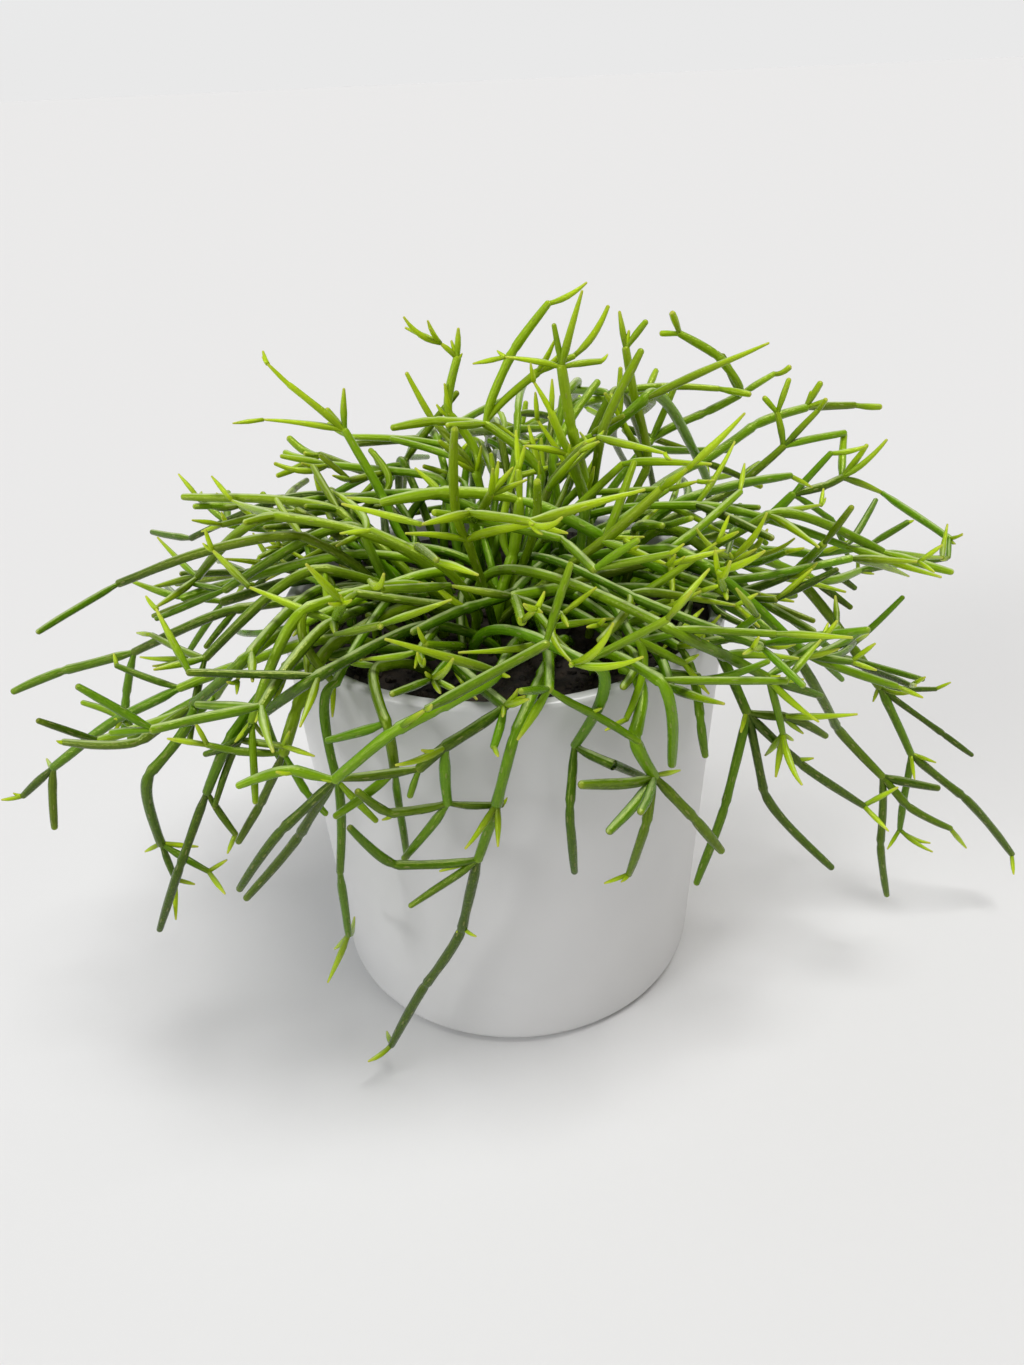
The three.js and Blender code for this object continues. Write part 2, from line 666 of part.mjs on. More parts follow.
// A closed round tube through rings of the given radii, with a fan over each end
function tube(points, radii, sides) {
  const places = [];
  const corners = [];
  let normal = null;
  points.forEach((point, i) => {
    const before = points[Math.max(0, i - 1)];
    const after = points[Math.min(points.length - 1, i + 1)];
    const along = after.clone().sub(before).normalize();
    if (!normal) {
      const across = Math.abs(along.z) < STEEP ? UP : SIDEWAYS;
      normal = across.clone().cross(along).normalize();
    }
    normal.addScaledVector(along, -normal.dot(along)).normalize();
    for (let k = 0; k < sides; k++) {
      const spoke = normal.clone().applyAxisAngle(along, (2 * Math.PI * k) / sides);
      places.push(...point.clone().addScaledVector(spoke, radii[i]).toArray());
    }
  });
  for (let i = 0; i + 1 < points.length; i++) {
    for (let k = 0; k < sides; k++) {
      const a = i * sides + k;
      const b = i * sides + ((k + 1) % sides);
      corners.push(a, b, b + sides, a, b + sides, a + sides);
    }
  }
  const top = (points.length - 1) * sides;
  for (let k = 1; k + 1 < sides; k++) {
    corners.push(0, k + 1, k, top, top + k, top + k + 1);
  }
  const geometry = new THREE.BufferGeometry();
  geometry.setAttribute("position", new THREE.Float32BufferAttribute(places, 3));
  geometry.setIndex(corners);
  return geometry;
}

// The rings of a run: pinched at its joints, with a blunt end that its own forks and shoots stand out of
function runTube(run) {
  const points = run.points.map((point) => point.clone());
  const radii = points.map(() => run.radius);
  for (const joint of run.joints) {
    radii[joint.ring] = run.radius * JOINT_PINCH;
  }
  const last = points.length - 1;
  const onward = points[last].clone().sub(points[last - 1]).normalize();
  points[last].addScaledVector(onward, run.radius * END_KNOB);
  radii[last] = run.radius * (run.forked ? FORKED_END : BLUNT_END);
  return tube(points, radii, run.radius > SLIM ? MAIN_SIDES : SLIM_SIDES);
}

// A young shoot: a slim spike
function shootSpike([base, tip]) {
  const height = base.distanceTo(tip);
  const along = tip.clone().sub(base).normalize();
  const spike = new THREE.ConeGeometry(SHOOT, height, SHOOT_SIDES);
  spike.applyQuaternion(new THREE.Quaternion().setFromUnitVectors(new THREE.Vector3(0, 1, 0), along));
  return spike.translate(...base.clone().lerp(tip, 0.5).toArray());
}

function stemBody(grownStem) {
  return grownStem.runs
    .map((run) => solid(run.shoot ? shootSpike(run.points) : runTube(run)))
    .reduce((whole, piece) => whole.add(piece));
}

// The straight hole that a stem stands in, a little wider and deeper than its root
function rootHole(grownStem) {
  const { foot, collar, heading } = grownStem.root;
  const low = foot.clone().addScaledVector(heading, -SEAT_GAP);
  const high = collar.clone().addScaledVector(heading, HOLE_TOP);
  const radius = grownStem.radius + HOLE_GAP;
  return solid(tube([low, high], [radius, radius], grownStem.radius > SLIM ? MAIN_SIDES : SLIM_SIDES));
}

// A turned body from its profile of [radius, height] pairs
function turned(profile) {
  const points = profile.map(([radius, height]) => new THREE.Vector2(radius, height));
  return new THREE.LatheGeometry(points, POT_SIDES).rotateX(Math.PI / 2);
}

// Points of a rounded edge, a quarter turn or so about a centre
function edge(centre, radius, fromAngle, toAngle) {
  return Array.from({ length: EDGE_STEPS + 1 }, (_, i) => {
    const angle = (fromAngle + ((toAngle - fromAngle) * i) / EDGE_STEPS) * DEGREE;
    return [centre[0] + radius * Math.cos(angle), centre[1] + radius * Math.sin(angle)];
  });
}

function potGeometry() {
  const rimCentre = POT_RIM_RADIUS - POT_RIM_EDGE;
  const innerEdge = POT_RIM_RADIUS - POT_WALL + POT_RIM_EDGE;
  const rimHeight = POT_HEIGHT - POT_RIM_EDGE;
  return turned([
    [0, 0],
    ...edge([POT_BASE_RADIUS - POT_BASE_EDGE, POT_BASE_EDGE], POT_BASE_EDGE, -90, 0),
    ...edge([rimCentre, rimHeight], POT_RIM_EDGE, 0, 90),
    ...edge([innerEdge, rimHeight], POT_RIM_EDGE, 90, 180),
    [potRadius(POT_FLOOR) - POT_WALL, POT_FLOOR],
    [0, POT_FLOOR],
  ]);
}

function soilGeometry() {
  const inner = (z) => potRadius(z) - POT_WALL - SEAT_GAP;
  const edgeReach = inner(SOIL_EDGE_HEIGHT);
  const surface = Array.from({ length: SOIL_RINGS }, (_, i) => {
    const reach = edgeReach * (1 - i / SOIL_RINGS);
    return [reach, soilHeight(reach)];
  });
  return turned([[0, POT_FLOOR], [inner(POT_FLOOR), POT_FLOOR], ...surface, [0, soilHeight(0)]]);
}

// Colours and finishes
const glaze = new THREE.MeshStandardMaterial({ color: 0xd9d8d5, roughness: 0.35, metalness: 0 });
const peat = new THREE.MeshStandardMaterial({ color: 0x2a2018, roughness: 0.95, metalness: 0 });
const stemGreen = new THREE.MeshStandardMaterial({ color: 0x567f14, roughness: 0.45, metalness: 0 });

const plant = new THREE.Group();

function addPiece(name, geometry, material) {
  const piece = new THREE.Mesh(geometry, material);
  piece.name = name;
  plant.add(piece);
}

const plans = [...FRONT_STEMS, ...Array.from({ length: BACK_STEMS }, (_, i) => backStem(i))];
const stems = plans.map(growStem).filter(Boolean);
stems.filter((grownStem) => grownStem.number % LEADER_PACE === 0).forEach(growLeader);

const soil = stems.map(rootHole).reduce((left, hole) => left.subtract(hole), solid(soilGeometry()));

addPiece("pot", potGeometry(), glaze);
addPiece("soil", geometryOf(soil), peat);
stems.forEach((grownStem, i) => {
  addPiece("stem_" + String(i + 1).padStart(2, "0"), geometryOf(stemBody(grownStem)), stemGreen);
});

export default plant;
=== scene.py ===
"""A mistletoe cactus in a plain white pot: round stems that fork in whorls, arch over the rim and hang.

The growth is worked out in millimetres and the meshes are in metres. +Z is up and the plant's front faces -Y.
"""

import math

import bpy
import numpy as np
from mathutils import Matrix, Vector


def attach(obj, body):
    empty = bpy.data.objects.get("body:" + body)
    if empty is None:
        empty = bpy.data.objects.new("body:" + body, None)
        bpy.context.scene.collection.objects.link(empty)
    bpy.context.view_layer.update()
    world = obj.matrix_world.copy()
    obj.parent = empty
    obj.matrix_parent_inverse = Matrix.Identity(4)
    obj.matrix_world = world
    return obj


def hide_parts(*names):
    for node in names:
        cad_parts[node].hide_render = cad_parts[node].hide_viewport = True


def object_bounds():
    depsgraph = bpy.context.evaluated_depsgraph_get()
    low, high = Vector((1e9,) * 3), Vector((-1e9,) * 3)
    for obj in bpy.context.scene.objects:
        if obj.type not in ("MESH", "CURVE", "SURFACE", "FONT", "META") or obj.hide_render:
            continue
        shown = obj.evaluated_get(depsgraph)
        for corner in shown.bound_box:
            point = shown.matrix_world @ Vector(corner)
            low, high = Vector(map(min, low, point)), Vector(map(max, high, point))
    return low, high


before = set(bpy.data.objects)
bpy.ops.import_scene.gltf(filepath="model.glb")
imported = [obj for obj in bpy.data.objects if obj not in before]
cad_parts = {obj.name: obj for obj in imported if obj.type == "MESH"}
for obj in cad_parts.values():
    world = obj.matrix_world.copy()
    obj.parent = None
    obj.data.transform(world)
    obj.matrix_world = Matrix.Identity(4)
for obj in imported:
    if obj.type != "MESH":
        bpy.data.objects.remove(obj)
cad_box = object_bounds()

MM = 0.001
DEGREE = math.pi / 180
TURN = 2 * math.pi

# The pot and the soil, as the solids have them
POT_HEIGHT = 138
POT_RIM_RADIUS = 70
POT_BASE_RADIUS = 64.4
POT_WALL = 4.4
POT_FLOOR = 5
POT_BASE_EDGE = 4.5
POT_RIM_EDGE = 1.6
SOIL_EDGE_HEIGHT = 131
SOIL_MOUND = 3.5

# The stems: radii, and how deep and how close together they stand
STOUT = 2.1
MAIN = 1.8
SLIM = 1.3
FINE = 0.9
SHOOT = 0.75
ROOT_DEPTH = 12
ROOT_RISE = 1.2
HOLE_GAP = 0.35
ROOT_SPREAD = 6.3
ROOT_PLACES = 66
ROOT_TRIES = 10
ROOT_LEAN = 0.9
ROOT_LIFT = 14
MOST_LEAN = 1.7
GOLDEN_ANGLE = math.pi * (3 - math.sqrt(5))

# How a stem bends, and how it passes its neighbours
ROOT_GRIP = 0.42
GRIP = 0.22
FORK_PULL = 2.5
RING_STEP = 24
STRAIGHT_BULGE = 1.5
BALL_STEP = 2
BALL_ROOM = 60000
CLEARANCE = 0.8
JOINT_REACH = 8
ASIDE = np.array([0, 0.85, -0.52])
DODGES = [0, 2.5, -2.5, 5, -5, 8, -8, 11, -11, 15, -15]
SWAYS = [0, 3, -3, 7, -7]
UP = np.array([0.0, 0.0, 1.0])
SIDEWAYS = np.array([1.0, 0.0, 0.0])
STEEP = 0.9


def fork(joint, way, radius=SLIM, forks=()):
    """A fork leaves its parent at a joint's number, through the places of way, given in one row."""
    way = np.reshape(way, (-1, 3)).astype(float)
    return {"joint": joint, "way": way, "radius": radius, "forks": [fork(*branch) for branch in forks]}


def stem(root, way, forks=(), radius=MAIN):
    """A stem leaves the soil near root, through the places of way; its forks are as fork takes them."""
    return {"root": root, **fork(0, way, radius, forks)}


# The stems that show from the front, by the places of their joints: x to the right, y to the back and z up
FRONT_STEMS = [
    stem([0, -20], [3, -20, 157, 6, -18, 174], [(1, [-15, -16, 177, -33, -14, 174], STOUT),
        (1, [28, -22, 164, 48, -28, 154], STOUT), (1, [6, -16, 182])], STOUT),
    stem([16, -30], [9, -64, 144, 2, -80, 138, -4, -82, 117, -10, -82, 98], [
        (3, [-16, -80, 71, -28, -78, 47, -42, -76, 17], MAIN), (3, [-31, -84, 99, -42, -86, 114]),
        (3, [-29, -86, 86], FINE)]),
    stem([12, -30], [-2, -70, 149, -15, -86, 150, -26, -89, 146, -43, -89, 132], [(2, [-19, -92, 153], FINE),
        (3, [-52, -90, 136, -66, -91, 133]), (3, [-57, -90, 119, -73, -88, 97]),
        (3, [-55, -84, 112, -74, -82, 88])]),
    stem([-30, -24], [-15, -52, 143, -1, -75, 142], [(1, [-4, -84, 136]),
        (1, [-16, -80, 134, -23, -82, 129], MAIN, [(1, [-43, -82, 127]), (1, [-26, -84, 122], FINE),
        (0, [-17, -80, 116], MAIN, [(0, [-31, -82, 115, -39, -84, 124]), (0, [-30, -82, 99]),
        (0, [-3, -80, 114], FINE)])])], STOUT),
    stem([13, -20], [11, -48, 146, 10, -76, 147], [(1, [2, -84, 138]),
        (1, [20, -80, 142, 32, -82, 134], FINE)]),
    stem([28, -25], [31, -60, 142, 32, -75, 132, 37, -78, 120], [(2, [17, -92, 129], MAIN),
        (2, [24, -92, 114], MAIN), (2, [35, -82, 109, 31, -80, 88]), (2, [47, -80, 108, 56, -80, 95], MAIN),
        (2, [31, -96, 123])], STOUT),
    stem([43, -10], [56, -42, 142, 66, -56, 124], [(1, [72, -60, 100, 94, -64, 72]),
        (1, [81, -58, 108, 103, -58, 90]), (1, [60, -66, 101, 52, -72, 76]),
        (1, [76, -56, 122, 90, -54, 113])]),
    stem([45, 5], [64, -12, 142, 82, -22, 125, 102, -30, 100, 118, -34, 82], [(3, [137, -34, 76], MAIN),
        (3, [125, -38, 74, 141, -40, 64]), (3, [121, -36, 57, 127, -36, 32])]),
    stem([50, 20], [72, 22, 143, 98, 16, 130, 117, 6, 108, 128, 2, 93], [(3, [150, 6, 88], FINE),
        (3, [151, -2, 75, 163, -4, 66], FINE), (3, [141, -4, 68], MAIN, [
        (0, [160, -8, 52, 184, -10, 24], MAIN), (0, [141, -6, 49, 142, -6, 35])])], STOUT),
    stem([-20, -4], [-52, -8, 143, -80, -16, 143, -115, -14, 129], [(1, [-90, -22, 134], FINE),
        (2, [-137, -14, 124, -155, -16, 118], MAIN), (2, [-120, -16, 116, -123, -20, 103])]),
    stem([-19, 4], [-43, 4, 144, -67, 4, 142, -90, 4, 136], [(2, [-102, 6, 138]),
        (2, [-106, 2, 117], FINE)], STOUT),
    stem([-31, -30], [-54, -38, 143, -74, -42, 139, -93, -42, 132], [(2, [-110, -40, 139], FINE),
        (2, [-112, -42, 123, -135, -44, 108], MAIN, [(1, [-147, -44, 98]), (1, [-140, -46, 87])])]),
    stem([-45, -38], [-71, -48, 143, -81, -50, 134, -115, -52, 122], [(1, [-99, -54, 126]),
        (2, [-128, -56, 132], FINE)]),
    stem([-36, -30], [-47, -46, 146, -56, -60, 136, -61, -65, 124], [(2, [-70, -64, 107, -79, -64, 93]),
        (2, [-56, -70, 115, -51, -72, 108], FINE), (2, [-72, -68, 127, -79, -70, 131], FINE)], STOUT),
    stem([-44, -30], [-66, -46, 144, -85, -56, 135, -97, -61, 118, -102, -62, 92], [
        (1, [-99, -58, 126, -122, -58, 126]), (3, [-101, -62, 78], FINE), (3, [-89, -66, 84], FINE)]),
    stem([-40, -38], [-60, -54, 143, -75, -62, 128, -84, -65, 112], [(2, [-94, -70, 92, -106, -70, 66]),
        (2, [-78, -68, 99], FINE), (1, [-60, -66, 127], FINE)]),
    stem([-22, -36], [-34, -56, 144, -31, -75, 139, -30, -80, 127], [(2, [-46, -82, 115]),
        (2, [-30, -82, 98], FINE), (1, [-47, -72, 132])]),
    stem([-36, -40], [-44, -62, 143, -47, -71, 118, -50, -71, 86], [(2, [-51, -70, 60]),
        (1, [-37, -76, 108], FINE)], SLIM),
    stem([10, 10], [14, 22, 166, -3, 30, 182], [(1, [-18, 32, 183, -33, 34, 181], MAIN),
        (1, [6, 34, 202, 18, 34, 217], MAIN), (1, [14, 36, 196, 26, 38, 200]), (1, [8, 28, 177], FINE)]),
    stem([29, 8], [28, 15, 163, 24, 18, 182, 21, 20, 201], [(2, [27, 18, 223]), (2, [19, 22, 213], FINE),
        (2, [4, 20, 205], FINE), (2, [33, 22, 202], FINE)], STOUT),
    stem([32, -2], [27, 6, 160, 22, 8, 178], [(1, [31, 8, 183]), (1, [9, 6, 182]),
        (1, [17, 8, 191, 12, 10, 200])], STOUT),
    stem([41, 25], [50, 35, 162, 47, 38, 182, 43, 40, 201], [(2, [41, 42, 212], FINE), (2, [49, 40, 209]),
        (0, [42, 44, 178, 37, 44, 186])]),
    stem([38, 36], [55, 60, 164, 74, 66, 171, 88, 70, 176], [(2, [82, 74, 189], MAIN),
        (2, [80, 72, 187, 66, 72, 198], MAIN), (2, [101, 74, 182]), (0, [64, 62, 184])]),
    stem([46, 32], [73, 56, 157, 92, 64, 166, 112, 68, 171], [(2, [131, 72, 170], MAIN),
        (0, [88, 58, 150])], STOUT),
    stem([36, 16], [56, 36, 143, 78, 44, 148, 100, 50, 163], [(2, [112, 54, 174]), (2, [123, 56, 165], FINE),
        (2, [98, 54, 174], FINE)]),
    stem([48, 14], [76, 30, 142, 92, 36, 142, 102, 40, 149], [(2, [115, 44, 162]),
        (2, [113, 42, 151, 120, 44, 153], MAIN, [(1, [136, 46, 146])]),
        (2, [117, 40, 139, 124, 38, 126], FINE)], STOUT),
    stem([50, 8], [80, 22, 142, 104, 24, 134, 126, 26, 135], [(2, [139, 28, 142]), (1, [122, 22, 121])]),
    stem([46, -4], [79, 8, 142, 102, 18, 127, 123, 28, 124], [(2, [141, 32, 125, 157, 32, 126], MAIN),
        (1, [116, 8, 121])]),
    stem([44, -20], [62, -24, 143, 76, -28, 134, 89, -31, 126], [(2, [105, -30, 133]),
        (2, [99, -37, 121], FINE), (0, [71, -34, 138], FINE)], STOUT),
    stem([20, -8], [28, -28, 144, 47, -49, 142], [(1, [51, -62, 128, 53, -66, 117]),
        (1, [60, -50, 144, 71, -50, 142])]),
    stem([34, 0], [50, -10, 150, 57, -19, 141], [(1, [84, -20, 147], MAIN), (1, [50, -36, 139])]),
    stem([22, -16], [24, -30, 152, 3, -44, 157], [(1, [-14, -46, 162]), (1, [15, -56, 157])], STOUT),
    stem([12, -10], [4, -24, 149, -10, -42, 153, -24, -54, 153]),
    stem([30, -36], [37, -66, 142, 42, -76, 122, 46, -76, 101], [(2, [34, -80, 97]), (2, [61, -76, 84])]),
    stem([22, -36], [19, -66, 148, 17, -79, 131], [(1, [15, -80, 115, 16, -80, 90]),
        (1, [26, -84, 128, 35, -86, 124])]),
    stem([-10, 8], [-29, 20, 145, -38, 28, 159, -49, 36, 180], [(2, [-48, 38, 193]),
        (2, [-65, 38, 195, -71, 38, 202]), (2, [-75, 36, 185], FINE)]),
    stem([-6, 20], [-18, 36, 160, -37, 44, 163, -58, 48, 165], [(2, [-74, 50, 168]),
        (1, [-50, 46, 152], FINE)]),
    stem([-4, 12], [-17, 22, 161, -39, 30, 161, -61, 34, 155], [(2, [-81, 36, 149]),
        (2, [-77, 34, 140], FINE), (1, [-54, 26, 149])], STOUT),
    stem([-14, 16], [-34, 22, 143, -52, 24, 144, -69, 26, 144], [(2, [-86, 30, 158, -93, 30, 163], FINE),
        (2, [-87, 22, 134], FINE)]),
    stem([-2, 26], [-7, 30, 166, -14, 36, 183, -11, 38, 201], [(2, [-10, 38, 210]), (2, [-16, 38, 206]),
        (0, [-20, 42, 180, -28, 46, 195])]),
    stem([22, -28], [41, -55, 150, 57, -62, 146, 69, -61, 138], [(2, [86, -56, 128]), (1, [78, -59, 142]),
        (2, [75, -62, 120], FINE)]),
    stem([-10, -24], [-18, -44, 149, -47, -58, 143, -64, -63, 136], [(2, [-81, -60, 122]),
        (2, [-62, -66, 118])]),
    stem([-6, -28], [-12, -50, 146, -26, -69, 147, -39, -74, 140], [(2, [-48, -76, 128]),
        (1, [-44, -70, 149])]),
    stem([6, -26], [8, -42, 156, 23, -60, 160], [(1, [42, -57, 158]), (1, [28, -68, 152])]),
]

# The stems behind: how many, the bearings they leave at (0 is right, 90 the back), the ranges of their first
# two stretches, and their forks by joint with ranges of bearing, pitch and length
BACK_STEMS = 18
BACK_SEED = 7919
GOLDEN_SHARE = 0.618034
BACK_BEARINGS = [24, 160]
BACK_ROOT_REACH = 30
BACK_FIRST_REACH = [48, 76]
BACK_FIRST_HEIGHT = [148, 186]
BACK_NEXT_LENGTH = [36, 62]
BACK_NEXT_PITCH = [-62, -4]
BACK_TURN = [-14, 14]
BACK_STOUT_SHARE = 0.3
BACK_FORKS = [
    (0, [38, 68], [10, -30], [26, 46]),
    (0, [-38, -68], [25, -15], [26, 46]),
    (1, [25, 50], [0, -80], [20, 40]),
    (1, [-25, -50], [10, -50], [20, 40]),
    (1, [-8, 8], [-30, -85], [20, 40]),
]

# The leaders: a second shoot from the collar of one stem in a few. By turns it rises or leans out
LEADER_SEED = 3571
LEADER_PACE = 3
LEADER_TURN = [-65, 65]
LEADERS = [
    ([32, 62], [26, 44], [5, 50], [20, 36], [-5, 45]),
    ([14, 34], [38, 60], [-35, 10], [26, 46], [-25, 30]),
]
LEADER_FORKS = [(0, [32, 72]), (0, [-72, -32]), (1, [18, 60]), (1, [-60, -18])]
LEADER_FORK_LENGTH = [16, 32]

# The bush's rounded top: its height, how fast it sinks towards the back, and to the sides by the square
DOME_TOP = 195
DOME_BACK = 0.28
DOME_SIDE = 0.0022

# The whorl of young shoots at the end of a stem
WHORL_SEEDS = [104729, 613]
WHORL_SHARE = 0.25
WHORL_LENGTH = [5, 12]
WHORL_TILT = [22, 50]
WHORL_LIFT = 0.3


def dice(seed):
    """Repeatable draws from 0 to 1: each state is the last one times 48271, modulo 2 to the 31st less 1."""
    state = [seed]

    def roll():
        state[0] = state[0] * 48271 % 2147483647
        return state[0] / 2147483647

    return roll


def never():
    """A draw that passes no share, for branches without a whorl."""
    return 1


def between(limits, roll):
    return limits[0] + (limits[1] - limits[0]) * roll()


def share_of(value, limits):
    """How far a value is from the first limit to the second, held between 0 and 1."""
    return np.clip((value - limits[0]) / (limits[1] - limits[0]), 0, 1)


def unit(v):
    """Vectors along the last axis at length 1; a null one stays null."""
    v = np.asarray(v, float)
    length = np.sqrt((v * v).sum(-1, keepdims=True))
    return v / np.where(length == 0, 1, length)


def pot_radius(z):
    return POT_BASE_RADIUS + (POT_RIM_RADIUS - POT_BASE_RADIUS) * z / POT_HEIGHT


def soil_height(reach):
    """A shallow mound: highest on the axis, and falling with the square of the distance from it."""
    return SOIL_EDGE_HEIGHT + SOIL_MOUND * (1 - (reach / pot_radius(SOIL_EDGE_HEIGHT)) ** 2)


def place_from(start, bearing, pitch, length):
    """The place at a bearing and pitch in degrees, and a distance, from another."""
    level = math.cos(pitch * DEGREE) * length
    return [
        start[0] + math.cos(bearing * DEGREE) * level,
        start[1] + math.sin(bearing * DEGREE) * level,
        start[2] + math.sin(pitch * DEGREE) * length,
    ]


def drawn_place(start, bearing, pitches, lengths, roll):
    """The place at a bearing from another, at a pitch and a distance drawn from their ranges."""
    return place_from(start, bearing, between(pitches, roll), between(lengths, roll))


def back_stem(number):
    """A stem at the back, which arches up and out, forks, and hangs."""
    roll = dice(BACK_SEED * (number + 3))
    bearing = between(BACK_BEARINGS, lambda: number * GOLDEN_SHARE % 1)
    reach = between(BACK_FIRST_REACH, roll)
    first = place_from([0, 0, between(BACK_FIRST_HEIGHT, roll)], bearing, 0, reach)
    onward = bearing + between(BACK_TURN, roll)
    way = [first, drawn_place(first, onward, BACK_NEXT_PITCH, BACK_NEXT_LENGTH, roll)]
    forks = []
    for joint, bearings, pitches, lengths in BACK_FORKS:
        tip = drawn_place(way[joint], bearing + between(bearings, roll), pitches, lengths, roll)
        forks.append((joint, tip, SLIM if roll() < 0.5 else FINE))
    inner = BACK_ROOT_REACH / reach
    radius = STOUT if roll() < BACK_STOUT_SHARE else MAIN
    return stem([first[0] * inner, first[1] * inner], way, forks, radius)


def under_dome(place):
    """Whether a place is under the bush's rounded top, which only the tallest stems pass."""
    x, y, z = place
    return z < DOME_TOP - DOME_BACK * max(0, y) - DOME_SIDE * x * x


def leader_plan(collar, bearing, number):
    """A leader from the collar of a stem, turned aside from the way that the stem leans."""
    roll = dice(LEADER_SEED * (number + 2))
    pitches, lengths, next_pitches, next_lengths, tilts = LEADERS[number // LEADER_PACE % len(LEADERS)]
    outward = bearing + between(LEADER_TURN, roll)
    first = drawn_place(collar, outward, pitches, lengths, roll)
    following = drawn_place(first, outward, next_pitches, next_lengths, roll)
    way = [place for place in (first, following) if under_dome(place)]
    forks = []
    for joint, sides in LEADER_FORKS:
        start = way[joint] if joint < len(way) else collar
        tip = drawn_place(start, outward + between(sides, roll), tilts, LEADER_FORK_LENGTH, roll)
        if joint < len(way) and under_dome(tip):
            forks.append((joint, tip))
    return fork(0, way, MAIN, forks)


def on_curve(bow, t):
    """Places on a stretch of stem: a quadratic curve from its start, pulled towards its knee, to its end."""
    start, knee, end = bow
    t = np.asarray(t, float)[:, None]
    return start * (1 - t) ** 2 + knee * (2 * t * (1 - t)) + end * t**2


def bend(start, heading, end, sway, grip):
    """A stretch that sets off along heading and bends at its knee towards its end, with its last heading."""
    span = math.dist(start, end)
    side = unit(np.cross(end - start, UP)) * sway
    knee = start + heading * (grip * span) + side
    return (start, knee, end), unit(end - knee)


def rings_of(bow):
    """The places of the solid's rings: two on a nearly straight stretch, and otherwise one every 24 mm."""
    start, knee, end = bow
    bulge = float(np.linalg.norm(np.cross(knee - start, unit(end - start)))) / 2
    count = 1 if bulge < STRAIGHT_BULGE else max(2, math.floor(math.dist(start, end) / RING_STEP + 0.5))
    return on_curve(bow, np.arange(count + 1) / count)


def steps_along(points):
    """The places every 2 mm or less along the straight pieces between rings."""
    steps = [points[:1]]
    for a, b in zip(points[:-1], points[1:]):
        count = math.ceil(math.dist(a, b) / BALL_STEP)
        steps.append(a + (b - a) * (np.arange(1, count + 1)[:, None] / count))
    return np.concatenate(steps)


class Bush:
    """Every stem so far as balls along it, so that the next one can be grown clear of them."""

    def __init__(self):
        self.places = np.empty((BALL_ROOM, 3))
        self.radii = np.empty(BALL_ROOM)
        self.numbers = np.empty(BALL_ROOM, int)
        self.count = 0
        self.clearance = CLEARANCE

    def add(self, steps, radius, number):
        part = slice(self.count, self.count + len(steps))
        self.places[part] = steps
        self.radii[part] = radius
        self.numbers[part] = number
        self.count = part.stop

    def clear_of_pot(self, steps, radius):
        """Above the soil, over the rim, outside the pot and above the pot's underside."""
        reach = np.hypot(steps[:, 0], steps[:, 1])
        z = steps[:, 2]
        room = radius + CLEARANCE / 2
        inside = reach < POT_RIM_RADIUS - POT_WALL - room
        above_soil = z > soil_height(reach) + room
        outside = (z > POT_HEIGHT + room) | (reach > pot_radius(z) + room)
        return bool(np.all((z >= room) & np.where(inside, above_soil, outside)))

    def clear_of_stems(self, steps, radius, number, start):
        """Far enough from the balls of every other stem, and of the same one away from this start."""
        room = radius + STOUT + self.clearance
        places = self.places[: self.count]
        near = np.all((places >= steps.min(0) - room) & (places <= steps.max(0) + room), axis=1)
        near = np.nonzero(near)[0]
        places = places[near]
        apart = (self.numbers[near] != number) | (np.linalg.norm(places - start, axis=1) > JOINT_REACH)
        places, radii = places[apart], self.radii[near][apart]
        if not len(places):
            return True
        gaps = np.linalg.norm(places[None] - steps[:, None], axis=2)
        return bool(np.all(gaps > radii + radius + self.clearance))

    def take(self, steps, radius, number, start):
        """Adds a stretch where it is clear of the pot and of the other stems, and says whether it was."""
        clear = self.clear_of_pot(steps, radius) and self.clear_of_stems(steps, radius, number, start)
        if clear:
            self.add(steps, radius, number)
        return clear

    def stretch(self, start, heading, end, radius, number, grip=GRIP):
        """The first stretch that is clear of everything, moved aside as little as that takes, or None."""
        for dodge in DODGES:
            for sway in SWAYS:
                bow, last = bend(start, heading, end + ASIDE * dodge, sway, grip)
                if self.take(steps_along(rings_of(bow)), radius, number, start):
                    return bow, last
        return None


def sunflower(count, spread):
    """Places on the soil: each a golden angle on, at a reach that grows with its number's square root."""
    reach = spread * np.sqrt(np.arange(count) + 0.5)
    turn = np.arange(count) * GOLDEN_ANGLE
    return np.stack([reach * np.cos(turn), reach * np.sin(turn)], axis=1).tolist()


def plant_root(places, plan, number):
    """The free root place nearest to a stem's own from which its first stretch is clear."""
    first, radius = plan["way"][0], plan["radius"]
    choices = sorted(places, key=lambda place: math.dist(place, plan["root"]))[:ROOT_TRIES]
    for choice in choices:
        top = np.array([*choice, soil_height(math.hypot(*choice))])
        level = first - top
        level[2] = 0
        lean = min(MOST_LEAN, ROOT_LEAN * float(np.linalg.norm(level)) / (first[2] - top[2] + ROOT_LIFT))
        for slope in (lean, lean / 2, 0):
            heading = unit(unit(level) * slope + UP)
            foot = top - heading * ROOT_DEPTH
            collar = top + heading * ((radius + ROOT_RISE) / heading[2])
            steps = steps_along(np.array([foot, collar]))
            if bush.clear_of_stems(steps, radius + HOLE_GAP, number, top):
                found = bush.stretch(collar, heading, first, radius, number, ROOT_GRIP)
                if found:
                    bush.add(steps, radius + HOLE_GAP, number)
                    places.remove(choice)
                    return foot, collar, found
    return None


def grow_on(run, place, heading, way, number):
    """Grows a run on through the joints of a way, for as long as each stretch is clear."""
    for joint in way:
        found = bush.stretch(place, heading, joint, run["radius"], number)
        if not found:
            break
        bow, heading = found
        place = bow[2]
        run["bows"].append(bow)
        run["joints"].append((place, heading))


